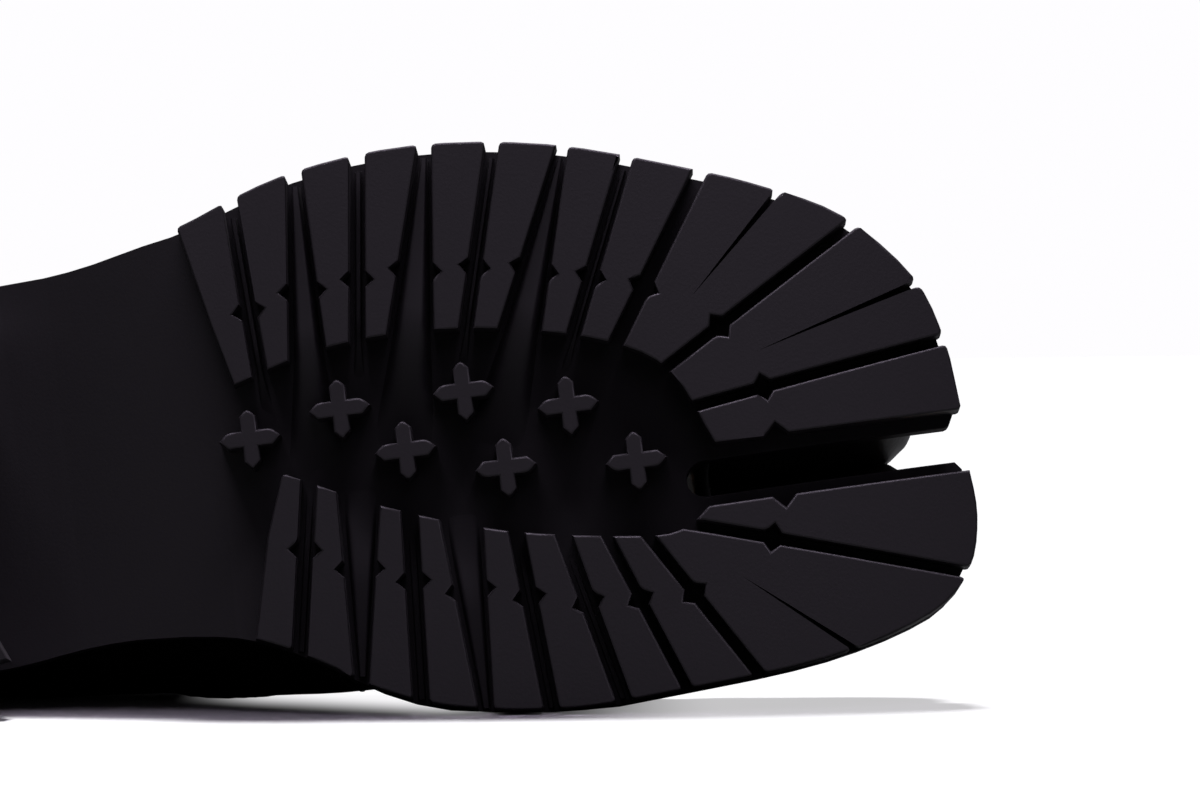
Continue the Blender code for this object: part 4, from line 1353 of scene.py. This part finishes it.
    def close_cleft(self, piece: bpy.types.Object) -> None:
        """Lets the two toe lobes lean together over the slot, as soft leather does.

        Args:
            piece: The upper.
        """
        places = self.axes.local_points(piece)
        x, y, _ = places.T
        rise = self.heights(places)
        aside = np.abs(y - SLOT_CENTRE)
        along = smooth_step(*self.cleft_rear, x)
        along *= 1.0 - smooth_step(*self.cleft_front, x)
        height = smooth_step(*self.cleft_low, rise) * (1.0 - smooth_step(*self.cleft_high, rise))
        near = 1.0 - smooth_step(*self.cleft_aside, aside)
        push = np.clip(aside - self.cleft_half, 0.0, self.cleft_most)
        places[:, 1] -= np.sign(y - SLOT_CENTRE) * push * along * height * near
        self.axes.set_local_points(piece, places)

    def settle(self, piece: bpy.types.Object) -> None:
        """Lets the soft inner quarter sag until it rests on the floor.

        Args:
            piece: The upper.
        """
        tree = BVHTree.FromObject(piece, bpy.context.evaluated_depsgraph_get())
        for vertex in piece.data.vertices:
            vertex.co.z = max(vertex.co.z, 0.0)
            x, y, z = vertex.co / MM
            amount = self.sag * math.exp(-(((y - self.sag_middle) / self.sag_width) ** 2))
            amount *= smooth_step(*self.sag_rear, x) * (1.0 - smooth_step(*self.sag_front, x))
            if amount < self.sag_least:
                continue
            lowest = tree.ray_cast(Vector((vertex.co.x, vertex.co.y, -1.0)), Vector((0.0, 0.0, 1.0)))[0]
            if lowest is None:
                continue
            room = max(lowest.z / MM - self.sag_clear, 0.0)
            near = 1.0 - smooth_step(*self.sag_wall, z - lowest.z / MM)
            vertex.co.z -= min(amount, room) * near * MM

    def add_flex_creases(self, piece: bpy.types.Object) -> None:
        """Presses soft troughs across the vamp where the foot bends.

        Args:
            piece: The upper.
        """
        places = self.axes.local_points(piece)
        x, y, _ = places.T
        share = smooth_step(*self.flex_rise, self.heights(places))
        wander = self.flex_wave[0] * np.sin(y / self.flex_wave[1]) + self.flex_bow * y * y
        for number, place in enumerate(self.flex_places):
            off = (x + wander - place) / self.flex_width
            depth = self.flex_depth * (1.0 - self.flex_vary + self.flex_vary * math.cos(2.0 * number))
            places[:, 2] -= share * depth * np.exp(-off * off)
        self.axes.set_local_points(piece, places)

    def shell(self, leather: bpy.types.Material, lining: bpy.types.Material) -> bpy.types.Object:
        """Makes the upper, black outside and lined inside.

        Args:
            leather: Material of the outside.
            lining: Material of the inside.

        Returns:
            The piece.
        """
        piece = self.soft_copy("upper", "upper_shell")
        self.close_cleft(piece)
        self.sole.lean_slot(piece)
        self.settle(piece)
        self.add_flex_creases(piece)
        shade(piece, self.sharp_deg)
        piece.data.materials.append(leather)
        piece.data.materials.append(lining)
        return hand_over(piece, ("upper",))

    def tongue(self, leather: bpy.types.Material) -> bpy.types.Object:
        """Makes the tongue.

        Args:
            leather: Material of the tongue.

        Returns:
            The piece.
        """
        piece = self.soft_copy("tongue", "tongue_flap")
        shade(piece, self.sharp_deg)
        piece.data.materials.append(leather)
        return hand_over(piece, ("tongue",))


@dataclass
class Lacing:
    """Eyelets on the facings, and the lace's runs through them."""

    upper: Upper
    rows: int = 4
    eyelet_outer: float = 3.6
    eyelet_inner: float = 2.2
    eyelet_height: float = 1.0
    ring_segments: int = 32
    rim_segments: int = 12
    barrel_wall: float = 0.18
    barrel_depth: float = 1.5
    # The barrel lies this many walls outside the hole
    barrel_out: float = 1.5
    sharp_deg: float = 50.0
    # Decimals of a metre at which points of an eyelet are the same
    same_digits: int = 7
    lace_dip: float = 2.2
    lace_levels: int = 1
    lace_sharp_deg: float = 60.0

    def eyelet_model(self) -> bpy.types.Object:
        """Models one eyelet at the origin: a rolled rim with a short barrel under it.

        Returns:
            The eyelet, to be copied.
        """
        rim = (self.eyelet_outer - self.eyelet_inner) / 2
        bpy.ops.object.select_all(action="DESELECT")
        bpy.ops.mesh.primitive_torus_add(
            major_radius=(self.eyelet_inner + rim) * MM,
            minor_radius=rim * MM,
            major_segments=self.ring_segments,
            minor_segments=self.rim_segments,
        )
        ring = bpy.context.object
        bpy.ops.object.mode_set(mode="EDIT")
        bpy.ops.mesh.select_all(action="SELECT")
        bpy.ops.transform.resize(value=(1.0, 1.0, self.eyelet_height / (2.0 * rim)))
        bpy.ops.object.mode_set(mode="OBJECT")
        bpy.ops.object.select_all(action="DESELECT")
        bpy.ops.mesh.primitive_cylinder_add(
            vertices=self.ring_segments,
            radius=(self.eyelet_inner + self.barrel_out * self.barrel_wall) * MM,
            depth=self.barrel_depth * MM,
            end_fill_type="NOTHING",
            location=(0.0, 0.0, -self.barrel_depth / 2 * MM),
        )
        barrel = bpy.context.object
        bpy.ops.object.transform_apply(location=True)
        apply_modifier(barrel, "SOLIDIFY", thickness=self.barrel_wall * MM, offset=0.0)
        model = join([ring, barrel], "eyelet_model")
        make_outward(model)
        shade(model, self.sharp_deg)
        return model

    def eyelets(self, finish: bpy.types.Material) -> None:
        """Sets a copy of the eyelet over each CAD eyelet.

        Args:
            finish: Material of the eyelets.
        """
        model = self.eyelet_model()
        model.data.materials.append(finish)
        axes = self.upper.axes
        for side in Side:
            for number in range(1, self.rows + 1):
                row = f"{side.name.lower()}_{number}"
                node = f"eyelet_{row}"
                points = vertex_places(frame["nodes"][node].data)
                points = np.unique(points.round(self.same_digits), axis=0)
                centre = Vector(points.mean(axis=0))
                normal = Vector(np.linalg.svd(points - points.mean(axis=0))[2][2])
                place = axes.local(centre)
                outward = axes.direction(*(place - self.upper.foot_axis(place)))
                if normal.dot(outward) < 0.0:
                    normal.negate()
                copy = model.data.copy()
                turn = normal.to_track_quat("Z", "Y").to_matrix().to_4x4()
                copy.transform(Matrix.Translation(centre) @ turn)
                piece = bpy.data.objects.new(f"rolled_eyelet_{row}", copy)
                bpy.context.scene.collection.objects.link(piece)
                hand_over(piece, (node,))
        bpy.data.objects.remove(model)

    def laces(self, finish: bpy.types.Material) -> None:
        """Rounds each run of the lace and takes its two ends down into their eyelets.

        Args:
            finish: Material of the lace.
        """
        for number in range(1, self.rows + 1):
            node = f"lace_bar_{number}"
            piece = copy_of_node(node, f"lace_run_{number}", KEPT_FLAT_DEG)
            bpy.ops.object.mode_set(mode="EDIT")
            bpy.ops.mesh.select_mode(type="FACE")
            for end in range(2):
                bpy.ops.mesh.select_all(action="DESELECT")
                shape = bmesh.from_edit_mesh(piece.data)
                caps = sorted(shape.faces, key=lambda face: -len(face.verts))[:2]
                cap = min(caps, key=lambda face: face.calc_center_median().z * (1 - 2 * end))
                cap.select_set(True)
                down = cap.normal * self.lace_dip * MM
                bmesh.update_edit_mesh(piece.data)
                bpy.ops.mesh.extrude_region_move(TRANSFORM_OT_translate={"value": down})
            bpy.ops.object.mode_set(mode="OBJECT")
            subdivide_through(piece, self.lace_levels)
            shade(piece, self.lace_sharp_deg)
            piece.data.materials.append(finish)
            hand_over(piece, (node,))


@dataclass
class Stitching:
    """Rows of thread: behind the quarters' edge, along facings and collar, and on the welt."""

    upper: Upper
    shell: bpy.types.Object
    length: float = 2.1
    gap: float = 0.8
    radius: float = 0.3
    sides: int = 8
    rings: int = 6
    sunk: float = 0.12
    # Exponent that makes a stitch's ends blunt
    blunt: float = 0.6
    # Search lines start this far above the tread and outside the collar
    above: float = 160.0
    outside: float = 120.0
    quarter_rows: tuple[float, ...] = (2.2, 4.4)
    quarter_lift: float = 1.2
    step_rear: float = 140.0
    step_front: float = 180.0
    facing_rear: float = 118.0
    facing_front: float = 163.0
    facing_half: float = 8.0
    facing_inset: float = 2.4
    facing_steps: int = 24
    ridge_rear: float = 1.5
    ridge_front: float = 5.0
    collar_inset: float = 3.0
    collar_centre: tuple[float, float] = (58.0, 0.0)
    collar_front: float = 116.0
    collar_half: float = 28.0
    # How far ahead the collar's points are searched; in radians, how short its row ends and how wide it sees
    collar_ahead: float = 6.0
    collar_short: float = 0.12
    collar_window: float = 0.05
    collar_steps: int = 90
    # The ledge's rim lies between a face that looks up and one that looks aside
    ledge_up: float = 0.9
    ledge_aside: float = 0.5
    slot_rear: float = 212.0
    welt_inset: float = 2.4
    welt_centre: tuple[float, float] = (130.0, 2.0)
    welt_length: float = 3.4
    least_run: float = 1e-9
    welt_clear: float = 1.0

    def tree(self) -> BVHTree:
        """Builds a search tree of the finished upper.

        Returns:
            The tree, in the shoe's own millimetres.
        """
        points = self.upper.axes.local_points(self.shell)
        faces = [tuple(face.vertices) for face in self.shell.data.polygons]
        return BVHTree.FromPolygons(points.tolist(), faces)

    def step_line(self) -> np.ndarray:
        """Finds the foot of the quarters' front edge.

        Returns:
            Its places in order round the instep, one row each.
        """
        shape = merged_shape("upper")
        places = {}
        for edge in shape.edges:
            if edge.is_convex or edge.calc_face_angle(0.0) < math.radians(self.upper.rim_deg):
                continue
            for vert in edge.verts:
                place = self.upper.axes.local(vert.co)
                if self.step_rear < place.x < self.step_front:
                    places[vert.index] = place
        shape.free()
        axis_z = self.upper.foot_axis(Vector((self.step_front, 0.0, 0.0))).z
        return np.array(sorted(places.values(), key=lambda p: -math.atan2(p.z - axis_z, p.y)))

    def on_upper(self, tree: BVHTree, places: list[Vector]) -> list[tuple[Vector, Vector]]:
        """Nearest points of the upper's surface, with its normals there."""
        return [tree.find_nearest(place)[:2] for place in places]

    def from_outside(self, tree: BVHTree, start: Vector, way: Vector) -> tuple[Vector, Vector] | None:
        """First point of the upper that a straight line from outside meets, with its normal."""
        point, normal, _, _ = tree.ray_cast(start, way.normalized())
        return None if point is None else (point, normal)

    def quarter_lines(self, tree: BVHTree) -> list[list[tuple[Vector, Vector]]]:
        """Finds two rows behind the quarters' front edge.

        Args:
            tree: Search tree of the upper.

        Returns:
            Lines of points on the surface, with its normals.
        """
        line = self.step_line()
        lines = []
        for offset in self.quarter_rows:
            targets = []
            for x, y, z in line:
                axis = self.upper.foot_axis(Vector((x, y, z)))
                outward = (Vector((x, y, z)) - axis).normalized()
                targets.append(Vector((x - offset, y, z)) + self.quarter_lift * outward)
            lines.append(self.on_upper(tree, targets))
        return lines

    def facing_lines(self, tree: BVHTree) -> list[list[tuple[Vector, Vector]]]:
        """Finds a row along each facing's edge.

        Args:
            tree: Search tree of the upper.

        Returns:
            Lines of points on the surface, with its normals.
        """
        lines = []
        for side in Side:
            found = []
            for x in np.linspace(self.facing_rear, self.facing_front, self.facing_steps):
                share = (x - self.facing_rear) / (self.facing_front - self.facing_rear)
                ridge = self.ridge_rear + (self.ridge_front - self.ridge_rear) * share
                y = ridge + side.value * (self.facing_half + self.facing_inset)
                hit = self.from_outside(tree, Vector((x, y, self.above)), Vector((0.0, 0.0, -1.0)))
                if hit:
                    found.append(hit)
            lines.append(found)
        return lines

    def collar_lines(self, tree: BVHTree) -> list[list[tuple[Vector, Vector]]]:
        """Finds a row under the collar's top edge, from one facing round the heel to the other.

        Args:
            tree: Search tree of the upper.

        Returns:
            Lines of points on the surface, with its normals.
        """
        points = self.upper.axes.local_points(self.shell)
        points = points[points[:, 0] < self.collar_front + self.collar_ahead]
        centre = np.array(self.collar_centre)
        angles = np.arctan2(points[:, 1] - centre[1], centre[0] - points[:, 0])
        reach = math.atan2(self.collar_half, centre[0] - self.collar_front) - self.collar_short
        found = []
        for angle in np.linspace(-reach, reach, self.collar_steps):
            near = points[np.abs(angles - angle) < self.collar_window]
            if not len(near):
                continue
            top = near[:, 2].max() - self.collar_inset
            way = Vector((-math.cos(angle), math.sin(angle), 0.0))
            start = Vector((centre[0], centre[1], top)) + self.outside * way
            hit = self.from_outside(tree, start, -way)
            if hit:
                found.append(hit)
        return [found]

    def welt_lines(self, tree: BVHTree) -> list[list[tuple[Vector, Vector]]]:
        """Finds a row on the ledge outside the upper, round the shoe but for the slot between the toes.

        Args:
            tree: Search tree of the upper.

        Returns:
            Lines of points on the surface, with its normals.
        """
        shape = merged_shape("midsole")
        rim = {}
        for edge in shape.edges:
            ups = [self.upper.axes.local_direction(face.normal).z for face in edge.link_faces]
            if len(ups) == 2 and max(ups) > self.ledge_up and min(ups) < self.ledge_aside:
                for vert in edge.verts:
                    rim[vert.index] = self.upper.axes.local(vert.co)
        shape.free()
        places = [p for p in rim.values() if p.x < self.slot_rear or abs(p.y - SLOT_CENTRE) > SLOT_REACH]
        centre = Vector((*self.welt_centre, 0.0))
        places.sort(key=lambda p: math.atan2(p.y - centre.y, p.x - centre.x))
        line = np.array(places)
        run = np.gradient(line, axis=0)
        run /= np.linalg.norm(run, axis=1)[:, None] + self.least_run
        inward = np.column_stack([-run[:, 1], run[:, 0], np.zeros(len(run))])
        moved = line + self.welt_inset * inward
        up = Vector((0.0, 0.0, 1.0))
        stretches, current = [], []
        for point in moved:
            target = Vector(point)
            _, _, _, distance = tree.find_nearest(target)
            crosses = current and (current[-1][0].y - SLOT_CENTRE) * (target.y - SLOT_CENTRE) < 0.0
            if distance < self.welt_clear or (crosses and target.x > self.upper.web):
                stretches.append(current)
                current = []
            if distance > self.welt_clear:
                current.append((target, up))
        stretches.append(current)
        return [stretch for stretch in stretches if len(stretch) > 2]

    def stitch_model(self) -> tuple[np.ndarray, list[tuple[int, ...]]]:
        """Models one stitch along X, a unit long and thick on each side of its middle.

        Returns:
            Its points and its faces.
        """
        bpy.ops.object.select_all(action="DESELECT")
        bpy.ops.mesh.primitive_uv_sphere_add(segments=self.sides, ring_count=self.rings, radius=1.0)
        model = bpy.context.object
        bpy.ops.object.mode_set(mode="EDIT")
        bpy.ops.mesh.select_all(action="SELECT")
        bpy.ops.transform.rotate(value=math.pi / 2, orient_axis="Y", center_override=(0.0, 0.0, 0.0))
        bpy.ops.object.mode_set(mode="OBJECT")
        points = np.array([tuple(vert.co) for vert in model.data.vertices])
        points[:, 0] = np.sign(points[:, 0]) * np.abs(points[:, 0]) ** self.blunt
        faces = [tuple(face.vertices) for face in model.data.polygons]
        bpy.data.objects.remove(model)
        return points, faces

    def sew(
        self,
        name: str,
        lines: list[list[tuple[Vector, Vector]]],
        length: float,
        finish: bpy.types.Material,
    ) -> bpy.types.Object:
        """Lays stitches along lines on a surface.

        Args:
            name: Name of the new piece.
            lines: Points on the surface in the shoe's millimetres, with the surface's normals.
            length: Length of a stitch.
            finish: Material of the thread.

        Returns:
            All stitches as one piece.
        """
        model, faces = self.stitch_model()
        points, rows = [], []
        for line in lines:
            spots = np.array([tuple(spot) for spot, _ in line])
            normals = np.array([tuple(normal) for _, normal in line])
            steps = np.linalg.norm(np.diff(spots, axis=0), axis=1)
            travel = np.concatenate([[0.0], np.cumsum(steps)])
            pitch = length + self.gap
            for middle in np.arange(pitch / 2, travel[-1] - pitch / 2, pitch):
                ends = middle - length / 2, middle, middle + length / 2
                start, spot, stop = [
                    np.array([np.interp(at, travel, spots[:, axis]) for axis in range(3)]) for at in ends
                ]
                normal = np.array([np.interp(middle, travel, normals[:, axis]) for axis in range(3)])
                along = (stop - start) / np.linalg.norm(stop - start)
                normal -= along * normal.dot(along)
                normal /= np.linalg.norm(normal)
                turn = np.column_stack([along, np.cross(normal, along), normal])
                sizes = np.array([length / 2, self.radius, self.radius])
                lift = normal * (self.radius - 2.0 * self.sunk)
                rows.extend(tuple(index + len(points) * len(model) for index in face) for face in faces)
                points.append(spot + lift + (model * sizes) @ turn.T)
        places = np.vstack(points)
        piece = mesh_piece(name, places, rows)
        self.upper.axes.set_local_points(piece, places)
        make_outward(piece)
        select_only(piece)
        bpy.ops.object.shade_smooth()
        piece.data.materials.append(finish)
        LOG.info("%s: %d stitches", name, len(points))
        return hand_over(piece)

    def build(self, thread: bpy.types.Material, welt_thread: bpy.types.Material) -> None:
        """Sews the upper's rows and the welt.

        Args:
            thread: Material of the upper's thread.
            welt_thread: Material of the welt's thread.
        """
        tree = self.tree()
        seams = {
            "quarter_stitches": self.quarter_lines(tree),
            "facing_stitches": self.facing_lines(tree),
            "collar_stitches": self.collar_lines(tree),
        }
        for name, lines in seams.items():
            self.sew(name, lines, self.length, thread)
        self.sew("welt_stitches", self.welt_lines(tree), self.welt_length, welt_thread)


@dataclass
class Studio:
    """Pale floor with a painted glow that lightens its shadows, soft light from above and a long lens square
    to the sole.
    """

    axes: ShoeAxes
    photo_width_px: float = 1200.0
    photo_height_px: float = 800.0
    px_per_mm: float = 5.4185
    toe_px: tuple[float, float] = (977.7, 515.7)
    toe_place: tuple[float, float, float] = (272.0, 29.0, 9.0)
    lens_mm: float = 180.0
    sensor_mm: float = 36.0
    elevation_deg: float = 0.6
    roll_deg: float = -0.67
    clip_start: float = 0.01
    floor_size: float = 30.0
    floor_colour: str = "#f8f8fa"
    white: str = "#fefdff"
    bounce: str = "#6a6a6c"
    # Share of painted glow that lightens the floor and its shadows as seen from the camera, and where along
    # the shoe it sets in
    glow: float = 0.56
    glow_along: tuple[float, float] = (0.052, 0.09)
    # The same for the floor behind the sole, seen under the upper: it sets in aslant and ends at the ball
    far_glow: float = 0.95
    far_slant: float = 1.04
    far_glow_span: tuple[float, float] = (-0.03, 0.028)
    far_glow_start: tuple[float, float] = (-0.016, 0.004)
    far_glow_end: tuple[float, float] = (0.05, 0.035)
    sun_height: float = 2.0
    sun_strength: float = 3.8
    sun_spread_deg: float = 9.0
    sun_tilt_deg: float = -15.0
    front_place: tuple[float, float, float] = (0.4, -1.5, 1.5)
    front_size: float = 1.2
    front_power: float = 4.0
    tint: str = "#f4e4ff"
    # A bright panel overhead that shows only in the gloss of edges
    panel_place: tuple[float, float, float] = (0.0, -0.2, 2.0)
    panel_size: tuple[float, float] = (1.6, 0.6)
    panel_power: float = 172.0
    fill: float = 0.03
    fill_colour: str = "#f2f1f8"

    def camera(self) -> None:
        """Places the camera so that the toe's tip falls on its pixel of the photo."""
        frame_mm = self.photo_width_px / self.px_per_mm
        distance = self.lens_mm / self.sensor_mm * frame_mm
        bpy.ops.object.camera_add()
        camera = bpy.context.object
        camera.name = "photo_camera"
        camera.data.lens = self.lens_mm
        camera.data.sensor_width = self.sensor_mm
        camera.data.clip_start = self.clip_start
        tilt = Matrix.Rotation(math.radians(90.0 - self.elevation_deg), 4, "X")
        turn = tilt @ Matrix.Rotation(math.radians(self.roll_deg), 4, "Z")
        away = Vector(
            (
                (self.toe_px[0] - self.photo_width_px / 2) / self.px_per_mm,
                (self.photo_height_px / 2 - self.toe_px[1]) / self.px_per_mm,
                -distance,
            )
        )
        place = self.axes.place(*self.toe_place) - turn.to_3x3() @ (away * MM)
        camera.matrix_world = Matrix.Translation(place) @ turn
        bpy.context.scene.camera = camera

    def floor(self) -> None:
        """Lays a pale floor whose painted glow lightens the shoe's shadow on it by place, as the camera sees
        it.
        """
        bpy.ops.mesh.primitive_plane_add(size=self.floor_size)
        floor = bpy.context.object
        floor.name = "studio_floor"
        material, tree, shader = new_material("pale_floor_painted_glow")
        tree.nodes.remove(shader)
        matt = add_node(tree, "ShaderNodeBsdfDiffuse", {"Color": linear(self.floor_colour)})
        glow = add_node(tree, "ShaderNodeEmission", {"Color": linear(self.white)})
        place = add_node(tree, "ShaderNodeTexCoord").outputs["Object"]
        split = add_node(tree, "ShaderNodeSeparateXYZ", None, {"Vector": place})
        along = split.outputs["X"]
        slant = add_node(
            tree,
            "ShaderNodeMath",
            {"operation": "MULTIPLY_ADD", 1: self.far_slant},
            {0: along, 2: split.outputs["Y"]},
        )
        # Painted light: a glow by place that lightens the shadow under the toe and behind the sole
        shares = []
        for source, span, most in (
            (along, self.far_glow_start, 1.0),
            (along, self.far_glow_end, 1.0),
            (slant.outputs["Value"], self.far_glow_span, self.far_glow),
            (along, self.glow_along, self.glow),
        ):
            settings = {"From Min": span[0], "From Max": span[1], "To Max": most}
            settings["interpolation_type"] = "SMOOTHSTEP"
            share = add_node(tree, "ShaderNodeMapRange", settings, {"Value": source})
            shares.append(share.outputs["Result"])
        lift = shares[0]
        for operation, share in zip(("MULTIPLY", "MULTIPLY", "MAXIMUM"), shares[1:]):
            joined = add_node(tree, "ShaderNodeMath", {"operation": operation}, {0: lift, 1: share})
            lift = joined.outputs["Value"]
        seen = add_node(
            tree,
            "ShaderNodeMixShader",
            None,
            {0: lift, 1: matt.outputs["BSDF"], 2: glow.outputs["Emission"]},
        )
        # Flagged off: the floor throws little light up at the dark sole
        flagged = add_node(tree, "ShaderNodeBsdfDiffuse", {"Color": linear(self.bounce)})
        path = add_node(tree, "ShaderNodeLightPath")
        mixed = add_node(
            tree,
            "ShaderNodeMixShader",
            None,
            {0: path.outputs["Is Camera Ray"], 1: flagged.outputs["BSDF"], 2: seen.outputs["Shader"]},
        )
        tree.links.new(mixed.outputs["Shader"], tree.nodes["Material Output"].inputs["Surface"])
        floor.data.materials.append(material)

    def light(self) -> None:
        """Hangs a soft sun and a panel for gloss overhead, a dim light in front and a white surround."""
        tilt = (math.radians(self.sun_tilt_deg), 0.0, 0.0)
        bpy.ops.object.light_add(type="SUN", location=(0.0, 0.0, self.sun_height), rotation=tilt)
        sun = bpy.context.object.data
        sun.energy = self.sun_strength
        sun.angle = math.radians(self.sun_spread_deg)
        aim = Vector(self.front_place).to_track_quat("Z", "Y").to_euler()
        bpy.ops.object.light_add(type="AREA", location=self.front_place, rotation=aim)
        front = bpy.context.object.data
        front.size = self.front_size
        front.energy = self.front_power
        front.color = linear(self.tint)[:3]
        bpy.ops.object.light_add(type="AREA", location=self.panel_place)
        panel = bpy.context.object
        panel.data.shape = "RECTANGLE"
        panel.data.size, panel.data.size_y = self.panel_size
        panel.data.energy = self.panel_power
        panel.data.color = linear(self.tint)[:3]
        panel.visible_diffuse = False
        world = bpy.data.worlds.new("white_studio")
        world.use_nodes = True
        tree = world.node_tree
        tree.nodes.clear()
        seen = add_node(tree, "ShaderNodeBackground", {"Color": linear(self.white), "Strength": 1.0})
        dim = {"Color": linear(self.fill_colour), "Strength": self.fill}
        fill = add_node(tree, "ShaderNodeBackground", dim)
        path = add_node(tree, "ShaderNodeLightPath")
        mixed = add_node(
            tree,
            "ShaderNodeMixShader",
            None,
            {
                0: path.outputs["Is Camera Ray"],
                1: fill.outputs["Background"],
                2: seen.outputs["Background"],
            },
        )
        add_node(tree, "ShaderNodeOutputWorld", None, {"Surface": mixed.outputs["Shader"]})
        bpy.context.scene.world = world
        bpy.context.scene.view_settings.view_transform = "Standard"


def main() -> None:
    """Builds the shoe's pieces in order, then the studio."""
    logging.basicConfig(level=logging.INFO, format="%(name)s %(message)s")
    axes = ShoeAxes.from_mounts(frame["record"]["mounts"])
    rubber = MouldedRubber().material()
    calf = GrainLeather("black_calf", "#121113", "#1b1a1c", roughness=(0.26, 0.38), coat=0.15)
    leather = calf.material()
    natural = GrainLeather(
        "natural_lining", "#b08a63", "#c9a67f", roughness=(0.55, 0.7), grain_depth_mm=0.04
    )
    lining = natural.material()
    edge = CutLeatherEdge()

    sole = Sole(axes)
    sole.tread_piece("outsole", "lugged_outsole", rubber, sole.floor)
    sole.tread_piece("heel", "heel_block", rubber, lambda x: sole.lug_height)
    sole.ribs(rubber)
    sole.midsole(edge.material(), edge.raw_attribute)
    sole.insole(lining)
    upper = Upper(axes, sole)
    shell = upper.shell(leather, lining)
    upper.tongue(leather)
    lacing = Lacing(upper)
    lacing.eyelets(BlackEnamel().material())
    cotton = TwistedYarn(
        "waxed_cotton", "#0f0f10", "#1d1d1f", strand_mm=0.8, depth_mm=0.12, roughness=0.6, sheen=0.15
    )
    lacing.laces(cotton.material())
    polyester = TwistedYarn(
        "polyester_thread", "#121213", "#232325", strand_mm=0.4, depth_mm=0.05, roughness=0.45, sheen=0.1
    )
    linen = TwistedYarn(
        "linen_thread", "#17161a", "#2b292c", strand_mm=0.5, depth_mm=0.06, roughness=0.6, sheen=0.1
    )
    Stitching(upper, shell).build(polyester.material(), linen.material())

    studio = Studio(axes)
    studio.floor()
    studio.light()
    studio.camera()


if __name__ == "__main__":
    main()
